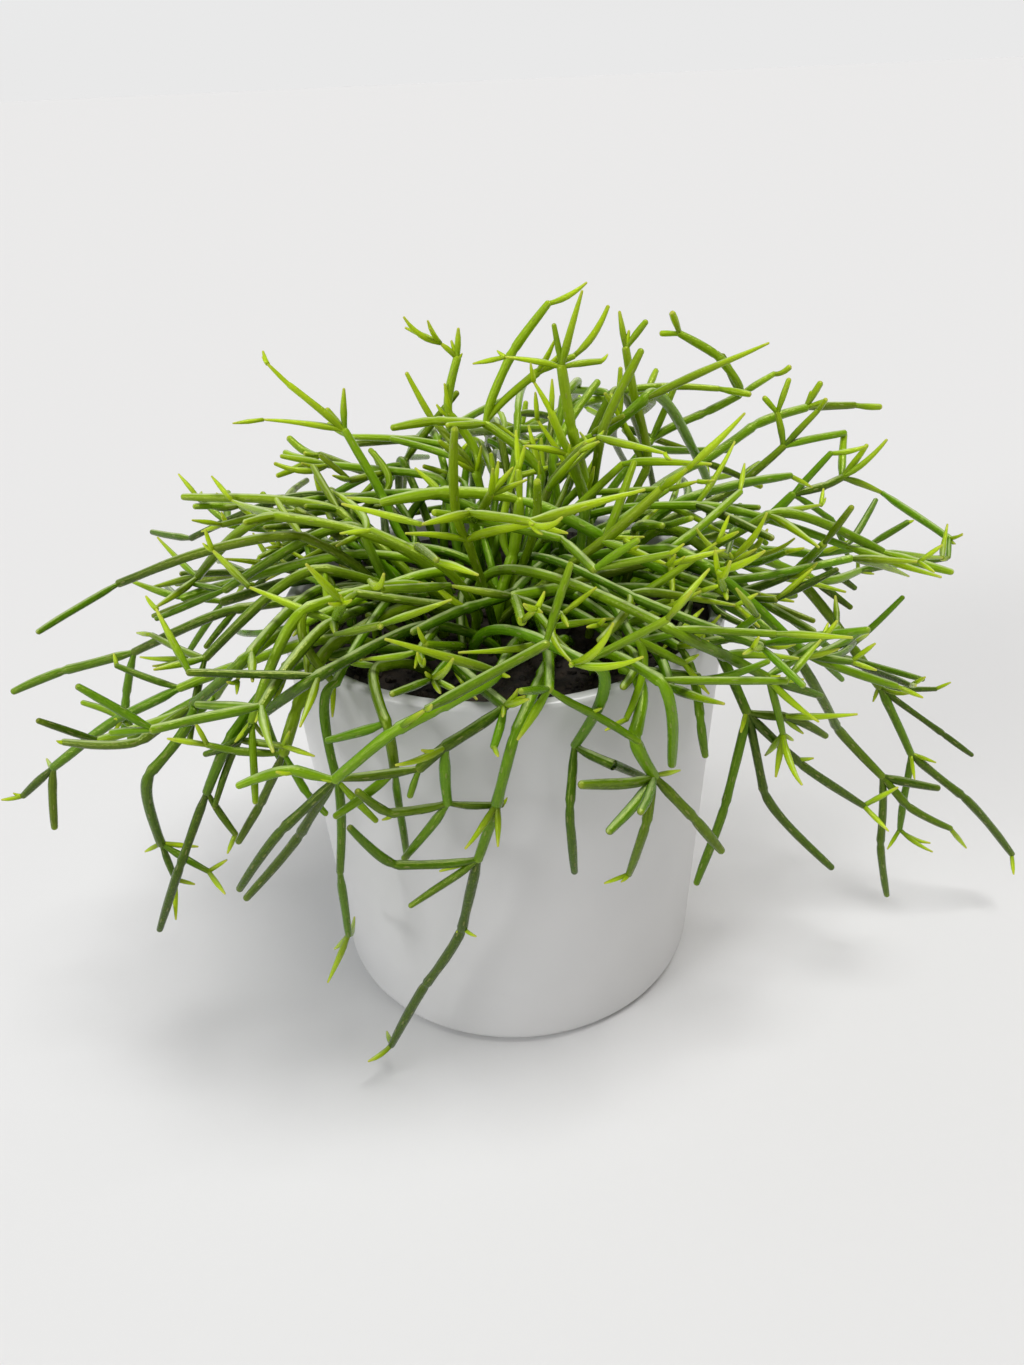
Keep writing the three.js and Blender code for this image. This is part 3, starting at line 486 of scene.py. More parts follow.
def grow_branch(place, heading, plan, number, roll, runs):
    """A branch through its joints, and then its own forks and its end."""
    run = {"bows": [], "radius": plan["radius"], "joints": [], "kind": "branch"}
    grow_on(run, place, heading, plan["way"], number)
    if run["joints"]:
        runs.append(run)
        grow_forks(run, plan, number, roll, runs)


def grow_forks(run, plan, number, roll, runs):
    """A run's forks, each of which sets off between the way to its first joint and the run's heading."""
    joints = run["joints"]
    run["forked"] = any(branch["joint"] == len(joints) - 1 for branch in plan["forks"])
    for branch in plan["forks"]:
        if branch["joint"] < len(joints):
            place, heading = joints[branch["joint"]]
            onward = unit(branch["way"][0] - place)
            grow_branch(place, unit(onward * FORK_PULL + heading), branch, number, roll, runs)
    if roll() < WHORL_SHARE:
        grow_whorl(joints[-1], number, roll, runs)


def square_to(heading):
    """A direction at right angles to a heading."""
    return unit(np.cross(heading, UP if abs(heading[2]) < STEEP else SIDEWAYS))


def turned_about(v, axis, angle):
    """A vector turned about an axis at right angles to it."""
    return v * math.cos(angle) + np.cross(axis, v) * math.sin(angle)


def bare_run(bow, radius, kind):
    """A young shoot, from which nothing grows."""
    return {"bows": [bow], "radius": radius, "joints": [], "kind": kind}


def grow_whorl(joint, number, roll, runs):
    """One or two young shoots round the end of a stem."""
    place, heading = joint
    count = 1 + math.floor(2 * roll())
    side = square_to(heading)
    for i in range(count):
        tilt = between(WHORL_TILT, roll) * DEGREE
        turn = (i + 0.5 * roll()) / count * TURN
        length = between(WHORL_LENGTH, roll)
        onward = heading * math.cos(tilt) + turned_about(side, heading, turn) * math.sin(tilt)
        tip = place + unit(onward + UP * WHORL_LIFT) * length
        if bush.take(steps_along(np.array([place, tip])), SHOOT, number, place):
            runs.append(bare_run((place, (place + tip) / 2, tip), SHOOT, "shoot"))


def grow_stem(places, plan, number):
    """A whole stem: its root, and every run above it; or None where there is no room for it."""
    roll = dice(WHORL_SEEDS[0] + WHORL_SEEDS[1] * number)
    root = plant_root(places, plan, number)
    if not root:
        return None
    foot, collar, (bow, heading) = root
    run = {"bows": [(foot, (foot + collar) / 2, collar), bow], "radius": plan["radius"], "kind": "rooted"}
    run["joints"] = [(bow[2], heading)]
    grow_on(run, bow[2], heading, plan["way"][1:], number)
    runs = [run]
    grow_forks(run, plan, number, roll, runs)
    return runs


def grow_leader(runs, number):
    """A leader sets off from its stem's collar, between the stem's lean and the way to its first joint."""
    foot, _, collar = runs[0]["bows"][0]
    lean = unit(collar - foot)
    plan = leader_plan(collar, math.atan2(lean[1], lean[0]) / DEGREE, number)
    if len(plan["way"]):
        onward = unit(plan["way"][0] - collar)
        grow_branch(collar, unit(onward * FORK_PULL + lean), plan, number, never, runs)


bush = Bush()
root_places = sunflower(ROOT_PLACES, ROOT_SPREAD)
plans = FRONT_STEMS + [back_stem(number) for number in range(BACK_STEMS)]
grown = [grow_stem(root_places, plan, number) for number, plan in enumerate(plans)]
for number, runs in enumerate(grown):
    if runs and number % LEADER_PACE == 0:
        grow_leader(runs, number)
stems = [runs for runs in grown if runs]

# The finer growth between those stems: how many in each part of the bush, with the ranges of their bearings,
# of their first joint's reach and height, of the pitch and length after it, and of their forks' tilt
BETWEEN = [
    (16, [148, 214], [40, 66], [141, 164], [-34, 10], [34, 66], [-15, 35]),
    (12, [192, 262], [46, 66], [141, 156], [-58, -14], [34, 62], [-50, 15]),
    (9, [290, 338], [44, 64], [141, 158], [-50, 0], [26, 54], [-25, 30]),
    (13, [-36, 24], [40, 66], [141, 164], [-40, 10], [34, 62], [-20, 35]),
    (10, [24, 150], [40, 70], [145, 180], [-40, 12], [30, 56], [-10, 35]),
    (22, [0, 360], [8, 42], [152, 178], [30, 74], [20, 42], [5, 50]),
]
BETWEEN_SEED = 6151
BETWEEN_NUMBER = 100
BETWEEN_PART = 31
BETWEEN_CLEARANCE = -0.5
BETWEEN_PLACES = 260
BETWEEN_SPREAD = 3.5
BETWEEN_TURN = [-18, 18]
BETWEEN_SHARE = 0.85
BETWEEN_SLIM_SHARE = 0.55
BETWEEN_ROOT_REACH = 34
BETWEEN_ROOT_SHARE = [0.4, 1]
BETWEEN_FORKS = [(0, [30, 75]), (0, [-75, -30]), (1, [20, 65]), (1, [-65, -20]), (1, [-12, 12])]
BETWEEN_FORK_LENGTH = [14, 34]

# Side branches off the joints of every stem: their shares by where the joint is, and their ranges
SPRAY_SEEDS = [2203, 89]
SPRAY_HEIGHT = [128, 150]
SPRAY_SHARE = 0.7
SPRAY_SLIM_SHARE = 0.7
SPRAY_TURN = [22, 70]
SPRAY_TILT = [-8, 42]
SPRAY_STEEPEST = 75
SPRAY_LENGTH = [14, 34]
SPRAY_NEXT = 0.5
SPRAY_NEXT_LENGTH = 0.6
SPRAY_FAR = [80, 115]
SPRAY_FAR_SHARE = 0.25

# Young shoots and buds at the joints
TWIG_SEEDS = [4409, 97]
TWIG_SHARE = 0.2
TWIG_COUNT = 2.4
TWIG_LENGTH = [8, 20]
TWIG_TILT = [20, 55]
TWIG_LIFT = [0, 0.6]
BUD_SHARE = 0.3
BUD_LENGTH = [2, 6]
FEWER_BELOW = 132
FEWER_SHARE = 0.45
BOX_MARGIN = 1.5


def between_stem(part, number):
    """A stem in one part of the bush, drawn from that part's ranges."""
    bearings, reaches, heights, pitches, lengths, tilts = part[1:]
    roll = dice(BETWEEN_SEED * (number + 2))
    roll()
    bearing = between(bearings, roll)
    reach = between(reaches, roll)
    first = place_from([0, 0, between(heights, roll)], bearing, 0, reach)
    way = [first, drawn_place(first, bearing + between(BETWEEN_TURN, roll), pitches, lengths, roll)]
    forks = []
    for joint, sides in BETWEEN_FORKS:
        tip = drawn_place(way[joint], bearing + between(sides, roll), tilts, BETWEEN_FORK_LENGTH, roll)
        if roll() < BETWEEN_SHARE and under_dome(tip):
            forks.append((joint, tip, SLIM if roll() < BETWEEN_SLIM_SHARE else FINE))
    inner = min(reach, BETWEEN_ROOT_REACH) * between(BETWEEN_ROOT_SHARE, roll) / reach
    return stem([first[0] * inner, first[1] * inner], way, forks, MAIN if roll() < 0.5 else SLIM)


def in_box(steps):
    """Whether places keep inside the solids' own box."""
    return bool(np.all(steps > box_low) and np.all(steps < box_high))


def joints_of(runs):
    """The joints of a stem's runs as they are now, without those of its young shoots."""
    return [joint for run in runs if run["kind"] != "shoot" for joint in run["joints"]]


def spray_plan(place, heading, length, roll):
    """A side branch off a joint: turned to one side of the heading there, and tilted by its own draw."""
    side = between(SPRAY_TURN, roll) * (1 if roll() < 0.5 else -1)
    bearing = math.atan2(heading[1], heading[0]) / DEGREE + side
    pitch = math.asin(heading[2]) / DEGREE * 0.5 + between(SPRAY_TILT, roll)
    return place_from(place, bearing, min(pitch, SPRAY_STEEPEST), length)


def grow_sprays(runs, number):
    """Side branches off the joints of a stem that are high enough, each with up to two of its own."""
    roll = dice(SPRAY_SEEDS[0] + SPRAY_SEEDS[1] * number)
    roll()
    for place, heading in joints_of(runs):
        share = SPRAY_SHARE * share_of(place[2], SPRAY_HEIGHT)
        share *= 1 + (SPRAY_FAR_SHARE - 1) * share_of(math.hypot(place[0], place[1]), SPRAY_FAR)
        chance = roll()
        tip = spray_plan(place, heading, between(SPRAY_LENGTH, roll), roll)
        if chance > share or not under_dome(tip):
            continue
        grown = []
        branch = fork(0, tip, SLIM if roll() < SPRAY_SLIM_SHARE else FINE)
        grow_branch(place, unit(tip - place), branch, number, never, grown)
        if not grown or not in_box(grown[0]["bows"][-1][2]):
            continue
        end, last = grown[0]["joints"][-1]
        for i in range(2):
            if roll() < SPRAY_NEXT:
                tip = spray_plan(end, last, between(SPRAY_LENGTH, roll) * SPRAY_NEXT_LENGTH, roll)
                if in_box(tip) and under_dome(tip):
                    grow_branch(end, unit(tip - end), fork(0, tip, FINE), number, never, grown)
                    grown[0]["forked"] = True
        runs.extend(grown)


def grow_twigs(runs, number, share, lengths, radius, kind):
    """Young shoots off the joints of a stem, tilted off its heading and a little upwards."""
    roll = dice(TWIG_SEEDS[0] + TWIG_SEEDS[1] * number + round(1000 * radius))
    roll()
    for place, heading in joints_of(runs):
        if roll() > share * (1 if place[2] > FEWER_BELOW else FEWER_SHARE):
            continue
        side = square_to(heading)
        for i in range(1 + math.floor(TWIG_COUNT * roll())):
            tilt = between(TWIG_TILT, roll) * DEGREE
            onward = turned_about(side, heading, TURN * roll())
            onward = unit(heading * math.cos(tilt) + onward * math.sin(tilt))
            tip = place + unit(onward + UP * between(TWIG_LIFT, roll)) * between(lengths, roll)
            bow = (place, place + onward * 0.5 * math.dist(place, tip), tip)
            steps = steps_along(on_curve(bow, np.linspace(0, 1, 4)))
            if in_box(steps) and bush.take(steps, radius, number, place):
                runs.append(bare_run(bow, radius, kind))


box_low = np.array(cad_box[0]) / MM + BOX_MARGIN
box_high = np.array(cad_box[1]) / MM - BOX_MARGIN
bush.clearance = BETWEEN_CLEARANCE
between_places = sunflower(BETWEEN_PLACES, BETWEEN_SPREAD)
seeds = [(part, BETWEEN_PART * i + k) for i, part in enumerate(BETWEEN) for k in range(part[0])]
between_stems = []
for number, (part, seed) in enumerate(seeds):
    runs = grow_stem(between_places, between_stem(part, seed), BETWEEN_NUMBER + number)
    if runs:
        between_stems.append([run for run in runs if in_box(on_curve(run["bows"][-1], [0.5, 1.0]))])
labelled = [(i + BETWEEN_NUMBER * (i >= len(stems)), runs) for i, runs in enumerate(stems + between_stems)]
for number, runs in labelled:
    grow_sprays(runs, number)
for number, runs in labelled:
    grow_twigs(runs, number, TWIG_SHARE, TWIG_LENGTH, FINE, "twig")
    grow_twigs(runs, number, BUD_SHARE, BUD_LENGTH, SHOOT, "bud")


# Surfaces

def closed_grid(rows, sides):
    """Faces of a tube of rings closed by a point at each end: quads between rings, and a fan at each end.

    Corner numbers run ring by ring, then the first and the last point. With the faces come their corners'
    places in the pattern that wraps them: the share of a turn, and the ring."""
    i, k = np.indices((rows - 1, sides)).reshape(2, -1)
    after = (k + 1) % sides
    quads = np.stack([i * sides + k, i * sides + after, (i + 1) * sides + after, (i + 1) * sides + k], axis=1)
    quad_turn = np.stack([k, k + 1, k + 1, k], axis=1) / sides
    quad_ring = np.stack([i, i, i + 1, i + 1], axis=1)
    k, after = k[:sides], after[:sides]
    first = rows * sides
    base = first - sides
    start = np.stack([np.full(sides, first), after, k], axis=1)
    end = np.stack([np.full(sides, first + 1), base + k, base + after], axis=1)
    fan_turn = np.concatenate([np.stack([k + 0.5, k + 1, k], 1), np.stack([k + 0.5, k, k + 1], 1)]) / sides
    fan_ring = np.repeat([[0] * 3, [rows - 1] * 3], sides, axis=0)
    return [quads, np.concatenate([start, end])], [quad_turn, fan_turn], [quad_ring, fan_ring]


def swept(points, radii, sides, ridge):
    """A round surface along a path: at each point a ring of the given radius, square to the path.

    The rings are kept from twisting by one direction for the whole path, that of its points' least spread.
    ridge raises and sinks the ring's radius as a cosine, a few times round."""
    ahead = unit(np.gradient(points, axis=0))
    least = np.linalg.svd(points - points.mean(0))[2][2]
    side = unit(least - ahead * (ahead @ least)[:, None])
    up = np.cross(ahead, side)
    angle = np.arange(sides) * TURN / sides
    width = radii[:, None] * (1 + ridge * np.cos(RIDGES * angle))
    ring = side[:, None] * np.cos(angle)[:, None] + up[:, None] * np.sin(angle)[:, None]
    places = points[:, None] + ring * width[:, :, None]
    return np.concatenate([places.reshape(-1, 3), points[:1], points[-1:]])


def turned_profile(profile, sides):
    """A profile of [radius, height] pairs carried round the upright axis, with a point on it at each end."""
    angle = np.arange(sides) * TURN / sides
    radius, height = profile.T[:, :, None]
    places = np.stack([radius * np.cos(angle), radius * np.sin(angle), height + 0 * angle], axis=2)
    return np.concatenate([places.reshape(-1, 3), [[0, 0, profile[0, 1]], [0, 0, profile[-1, 1]]]])


def mesh_piece(name, places, faces, material, nodes=(), wraps=None, marks=None, smooth=True):
    """A piece from places in millimetres and lists of face arrays. wraps are the corners' places in its UV
    map, and marks are numbers kept at each vertex."""
    mesh = bpy.data.meshes.new(name)
    corners = np.concatenate([part.ravel() for part in faces])
    sizes = np.concatenate([np.full(len(part), part.shape[1]) for part in faces])
    mesh.vertices.add(len(places))
    mesh.vertices.foreach_set("co", (places * MM).astype(np.float32).ravel())
    mesh.loops.add(len(corners))
    mesh.loops.foreach_set("vertex_index", corners.astype(np.int32))
    mesh.polygons.add(len(sizes))
    mesh.polygons.foreach_set("loop_start", (np.cumsum(sizes) - sizes).astype(np.int32))
    mesh.update(calc_edges=True)
    mesh.polygons.foreach_set("use_smooth", np.full(len(sizes), smooth))
    if wraps is not None:
        mesh.uv_layers.new(name="around_along").data.foreach_set("uv", wraps.astype(np.float32).ravel())
    for mark, numbers in (marks or {}).items():
        mesh.attributes.new(mark, "FLOAT", "POINT").data.foreach_set("value", numbers.astype(np.float32))
    mesh.materials.append(material)
    piece = bpy.data.objects.new(name, mesh)
    bpy.context.collection.objects.link(piece)
    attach(piece, "root")
    if nodes:
        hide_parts(*nodes)


# The stems' flesh. The shapes of a joint are its pinch and its knuckle, each by height, shift and length

FLESH_STEP = 1.9
FINE_STEP = 1.4
BUD_STEPS = 4
LENGTH_PLACES = 7
WAIST = 0.34
WAIST_START = 1
WAIST_LENGTH = 5.5
JOINT_SHAPES = [(-0.2, 1.5, 1.2), (0.14, -1.2, 2.2)]
SEGMENT_TAPER = 0.13
SWELL = 0.025
SWELL_LENGTH = 5
RIPPLE = 0.02
RIPPLE_LENGTH = 2.3
YOUNG_SHARE = 0.6
HANGING_BELOW = 138
LONGEST_TIP = 0.8
TIP_CURVE = 1.6
BLUNT_TIP = 0.92
BLUNT_BEHIND = [32, 62]
FULLER_BEHIND = 1.35
TIP_TURN = np.array([0.35, 0.65, 0.88, 0.98])
TIP_STRETCH = 0.9
RIDGE = 0.012
RIDGES = 8
RIDGED_SIDES = 16
OFF_UPRIGHT = 0.01
WANDER = 0.12
WANDER_LENGTHS = [6.5, 8.5]
WANDER_FREE = 8
SIDES = {STOUT: 16, MAIN: 16, SLIM: 12, FINE: 8, SHOOT: 6}
FULLER = {STOUT: 0.84, MAIN: 0.84, SLIM: 1.02, FINE: 1.25, SHOOT: 1.42}

# A run's end: the longest reach of its tip, its girth, and how young and how pale it looks
YOUNG_END = (24, 0.34, 0.5, 0.5)
OLD_END = (8, 0.84, 0.12, 0.15)
YOUNG_FADE = 1.2
OLD_FADE = 3
PALE_LENGTH = 0.8
PALE_FADE = 0.6

# How young a place looks besides: by the kind of its run, by chance, and high in the crown, where the yellower
# green is young growth and painted light both
YOUTH = {"shoot": 0.4, "bud": 0.45, "twig": 0.25}
YOUTH_OF_YOUNG = 0.06
YOUTH_CHANCE = 0.1
YOUNG_AND_PAINTED_LIGHT_ABOVE = [138, 190]
YOUNG_AND_PAINTED_LIGHT_HIGH = 0.42
OLDER_BEHIND = 0.5
WRAP_SCALE = 0.01


def eased(x):
    """0 below 0, 1 above 1, and a smooth step between."""
    x = np.clip(x, 0, 1)
    return x * x * (3 - 2 * x)


def centreline(run):
    """Places along a run's curves, the distance along it of each, and the distances of its joints."""
    step = FLESH_STEP if run["radius"] > FINE else FLESH_STEP * FINE_STEP
    pieces = []
    for bow in run["bows"]:
        length = np.linalg.norm(np.diff(on_curve(bow, np.linspace(0, 1, LENGTH_PLACES)), axis=0), axis=1).sum()
        count = max(BUD_STEPS, math.ceil(length / step))
        pieces.append(on_curve(bow, np.linspace(0, 1, count + 1))[0 if not pieces else 1:])
    points = np.concatenate(pieces)
    along = np.concatenate([[0], np.cumsum(np.linalg.norm(np.diff(points, axis=0), axis=1))])
    ends = np.cumsum([len(piece) for piece in pieces]) - 1
    return points, along, along[ends]


def to_corners(numbers, sides):
    """One number for each ring, given to each of its corners and to the point at either end."""
    return np.concatenate([np.repeat(numbers, sides), numbers[:1], numbers[-1:]])


def flesh(run, draw):
    """One run of stem: its places, faces, wraps, and marks of how young, pale and toned a place is, and of how
    upturned, for painted light on its top side.

    Its girth narrows at the waist it grows from, is pinched at each joint, thins a little along each segment,
    and then either tapers to a young tip or rounds off to a blunt one."""
    points, along, joints = centreline(run)
    length = along[-1]
    radius = run["radius"] * FULLER[run["radius"]]
    behind = eased(share_of(points[-1, 1], BLUNT_BEHIND))
    if run["radius"] <= FINE:
        radius *= 1 + (FULLER_BEHIND - 1) * behind
    forked = run.get("forked")
    chance = draw.random()
    slender = run["radius"] <= SLIM and not forked and points[-1, 2] > HANGING_BELOW
    young = run["kind"] in YOUTH or (slender and chance < YOUNG_SHARE)
    longest, tip, rise, paleness = YOUNG_END if young else OLD_END
    girth = np.ones(len(points))
    if run["kind"] != "rooted":
        girth *= 1 - WAIST * (1 - eased((along - WAIST_START) / WAIST_LENGTH))
    inner = joints[:-1]
    starts = np.concatenate([[0], inner])
    segment = np.searchsorted(inner, along, side="right")
    share = (along - starts[segment]) / (np.append(inner, length) - starts)[segment]
    girth *= 1 - SEGMENT_TAPER * share**2
    for joint in inner:
        for height, shift, spread in JOINT_SHAPES:
            girth *= 1 + height * np.exp(-(((along - joint - shift) / spread) ** 2))
    wave = draw.random(4) * TURN
    swell = 1 + SWELL * np.sin(along / SWELL_LENGTH + wave[0])
    girth *= swell + RIPPLE * np.sin(along / RIPPLE_LENGTH + wave[1])
    reach = min(longest, LONGEST_TIP * length)
    tip = 1 if forked else tip + (BLUNT_TIP - tip) * behind
    girth *= 1 - (1 - tip) * np.clip((along - (length - reach)) / reach, 0, 1) ** TIP_CURVE
    sway = eased(along / WANDER_FREE) * eased((length - along) / WANDER_FREE) * WANDER
    ahead = unit(np.gradient(points, axis=0))
    across = unit(np.cross(ahead, UP + OFF_UPRIGHT))
    points = points + across * (sway * np.sin(along / WANDER_LENGTHS[0] + wave[2]))[:, None]
    points[:, 2] += sway * np.sin(along / WANDER_LENGTHS[1] + wave[3])
    end = radius * girth[-1]
    points = np.concatenate([points, points[-1] + ahead[-1] * end * (TIP_TURN * TIP_STRETCH)[:, None]])
    girth = np.concatenate([girth * radius, end * np.sqrt(1 - TIP_TURN**2)])
    along = np.concatenate([along, along[-1] + end * TIP_TURN * TIP_STRETCH])
    last = along[-1]
    sides = SIDES[run["radius"]]
    places = swept(points, girth, sides, RIDGE if sides >= RIDGED_SIDES else 0)
    faces, turns, rings = closed_grid(len(points), sides)
    wraps = [np.stack([turn, along[ring] * WRAP_SCALE], 2).reshape(-1, 2) for turn, ring in zip(turns, rings)]
    start, fade = (reach * YOUNG_FADE, reach) if young else (OLD_FADE, OLD_FADE)
    youth_and_painted_light = YOUTH.get(run["kind"], YOUTH_OF_YOUNG if young else 0) + draw.normal(0, YOUTH_CHANCE)
    youth_and_painted_light = youth_and_painted_light + rise * eased((along - (last - start)) / fade)
    # Yellower high in the crown: young growth, and painted light on the top of the bush
    youth_and_painted_light += YOUNG_AND_PAINTED_LIGHT_HIGH * eased(share_of(points[:, 2], YOUNG_AND_PAINTED_LIGHT_ABOVE))
    youth_and_painted_light *= 1 - OLDER_BEHIND * behind
    pale = eased((along - (last - PALE_LENGTH)) / PALE_FADE) * paleness
    # How far each ring's surface faces up, used only for painted light on the top side of each stem
    outward = unit(places[:-2].reshape(-1, sides, 3) - points[:, None])
    return places, faces, wraps, {
        "youth_and_painted_light": to_corners(np.clip(youth_and_painted_light, 0, 1), sides),
        "pale": to_corners(pale, sides),
        "tone": np.full(len(places), draw.random()),
        "facing_up_painted_light": np.append(outward[..., 2].ravel(), [0, 0]),
    }


def stem_piece(name, runs, draw, nodes=()):
    """A whole stem with its branches as one piece; each run is closed and starts inside its parent."""
    places, faces, wraps, marks = zip(*[flesh(run, draw) for run in runs])
    starts = np.cumsum([0] + [len(part) for part in places])
    faces = [np.concatenate([part + start for part, start in zip(kind, starts)]) for kind in zip(*faces)]
    wraps = np.concatenate([part for kind in zip(*wraps) for part in kind])
    joined = {mark: np.concatenate([part[mark] for part in marks]) for mark in marks[0]}
    mesh_piece(name, np.concatenate(places), faces, flesh_finish, nodes, wraps, joined)


# The pot and the soil: how finely they are turned, the soil's gap to the pot, its waves and its crumbs

POT_TURNS = 144
NEAR_AXIS = 0.5
SOIL_TURNS = 120
SOIL_ROWS = 46
SOIL_INNERMOST = 0.02
SOIL_GAP = 0.3
SOIL_TOP_GAP = 0.35
SOIL_TOP_SINK = 0.4
SOIL_KNEE = 60
WAVES = 18
WAVE_HEIGHT = 0.42
WAVE_FALL = 0.35
WAVE_PACE = 0.12
WAVE_PACE_RISE = 1.22
CRUMBS = 1500
CRUMB_GAP = 3.5
CRUMB_SIZE = [0.5, 2.0]
CRUMB_SQUASH = [0.5, 1.0]
CRUMB_DENT = [-0.25, 0.25]
GOLDEN = (1 + math.sqrt(5)) / 2
BALL = [(-1, GOLDEN, 0), (1, GOLDEN, 0), (-1, -GOLDEN, 0), (1, -GOLDEN, 0), (0, -1, GOLDEN), (0, 1, GOLDEN),
        (0, -1, -GOLDEN), (0, 1, -GOLDEN), (GOLDEN, 0, -1), (GOLDEN, 0, 1), (-GOLDEN, 0, -1), (-GOLDEN, 0, 1)]
BALL_FACES = [(0, 11, 5), (0, 5, 1), (0, 1, 7), (0, 7, 10), (0, 10, 11), (1, 5, 9), (5, 11, 4), (11, 10, 2),
              (10, 7, 6), (7, 1, 8), (3, 9, 4), (3, 4, 2), (3, 2, 6), (3, 6, 8), (3, 8, 9), (4, 9, 5),
              (2, 4, 11), (6, 2, 10), (8, 6, 7), (9, 8, 1)]


def rounded(centre, radius, start, end, steps=7):
    """Points of an arc about a centre, between two angles in degrees."""
    angle = np.linspace(start, end, steps) * DEGREE
    return np.stack([centre[0] + radius * np.cos(angle), centre[1] + radius * np.sin(angle)], axis=1)


def straight(start, end, steps):
    """Points between two others, without those two."""
    return np.linspace(start, end, steps)[1:-1]


def pot_profile():
    """Underside, base edge, outer wall, rim, inner wall and inner floor, as one line from axis to axis."""
    rim_height = POT_HEIGHT - POT_RIM_EDGE
    middle = [NEAR_AXIS, 0]
    base = rounded([POT_BASE_RADIUS - POT_BASE_EDGE, POT_BASE_EDGE], POT_BASE_EDGE, -90, 0, 10)
    outer = rounded([POT_RIM_RADIUS - POT_RIM_EDGE, rim_height], POT_RIM_EDGE, 0, 90)
    inner = rounded([POT_RIM_RADIUS - POT_WALL + POT_RIM_EDGE, rim_height], POT_RIM_EDGE, 90, 180)
    floor = [POT_BASE_RADIUS - POT_WALL, POT_FLOOR]
    return np.concatenate([
        [middle],
        straight(middle, base[0], 8),
        base,
        straight(base[-1], outer[0], 26),
        outer,
        inner,
        straight(inner[-1], floor, 12),
        [floor, [NEAR_AXIS, POT_FLOOR]],
    ])


def lumps(count, draw):
    """Crumbs of peat: copies of a twenty-faced ball, each squashed, turned and dented by its own draws."""
    size = draw.uniform(*CRUMB_SIZE, (count, 1, 1)) * draw.uniform(*CRUMB_SQUASH, (count, 1, 3))
    dent = 1 + draw.uniform(*CRUMB_DENT, (count, len(BALL), 1))
    turn = np.linalg.qr(draw.normal(size=(count, 3, 3)))[0]
    turn *= np.sign(np.linalg.det(turn))[:, None, None]
    shapes = (unit(BALL) * size * dent) @ turn
    reach = (POT_RIM_RADIUS - POT_WALL - CRUMB_GAP) * np.sqrt(draw.random(count))
    bearing = draw.random(count) * TURN
    centre = np.stack([reach * np.cos(bearing), reach * np.sin(bearing), soil_height(reach)], axis=1)
    corners = (np.arange(count) * len(BALL))[:, None, None] + np.array(BALL_FACES)
    return (shapes + centre[:, None]).reshape(-1, 3), corners.reshape(-1, 3)


def soil_places(draw):
    """The mound as rings from the wall to the axis, raised by crossed waves; below it a plain plug."""
    inner = pot_radius(SOIL_EDGE_HEIGHT) - POT_WALL - SOIL_TOP_GAP
    reach = inner * np.linspace(1, SOIL_INNERMOST, SOIL_ROWS)
    angle = np.arange(SOIL_TURNS) * TURN / SOIL_TURNS
    x = reach[:, None] * np.cos(angle)
    y = reach[:, None] * np.sin(angle)
    z = soil_height(reach)[:, None] + 0 * x
    for number, (a, b, c) in enumerate(draw.random((WAVES, 3)) * TURN):
        pace = WAVE_PACE * WAVE_PACE_RISE**number
        height = WAVE_HEIGHT / (1 + WAVE_FALL * number)
        z = z + height * np.sin(pace * (x * math.cos(a) + y * math.sin(a)) + b) * np.sin(c + pace * y)
    z[0] = SOIL_EDGE_HEIGHT - SOIL_TOP_SINK
    top = np.stack([x, y, z], axis=2)
    foot = POT_FLOOR + SOIL_GAP
    walls = []
    for outer, height in [(POT_BASE_RADIUS, foot), (pot_radius(SOIL_KNEE), SOIL_KNEE)]:
        r = outer - POT_WALL - SOIL_GAP
        walls.append(np.stack([r * np.cos(angle), r * np.sin(angle), np.full(SOIL_TURNS, height)], axis=1))
    return np.concatenate([*walls, top.reshape(-1, 3), [[0, 0, foot], [0, 0, float(z[-1].mean())]]])


# Finishes

def sums(operation, swapped=False, **settings):
    """A way to work a reading and others out by one math node, in this order or swapped."""

    def work(reading, *others):
        values = [*others, reading] if swapped else [reading, *others]
        sockets = dict(enumerate(values))
        return reading.finish.node("Math", "Value", sockets, operation=operation, **settings)

    return work


class Reading:
    """A socket's value, so that sums on it are written as they are said."""

    def __init__(self, finish, socket):
        self.finish = finish
        self.socket = socket

    __add__ = __radd__ = sums("ADD")
    __sub__ = sums("SUBTRACT")
    __rsub__ = sums("SUBTRACT", swapped=True)
    __mul__ = __rmul__ = sums("MULTIPLY")
    __truediv__ = sums("DIVIDE")
    __pow__ = sums("POWER")
    sine = sums("SINE")
    cosine = sums("COSINE")
    whole = sums("FLOOR")
    rest = sums("FRACT")

    def held(self):
        """The value kept between 0 and 1."""
        return sums("ADD", use_clamp=True)(self, 0)

    def step(self, low, high, start=0, end=1):
        """A smooth rise from start at low to end at high."""
        values = {"Value": self, "From Min": low, "From Max": high, "To Min": start, "To Max": end}
        return self.finish.node("MapRange", "Result", values, interpolation_type="SMOOTHSTEP")


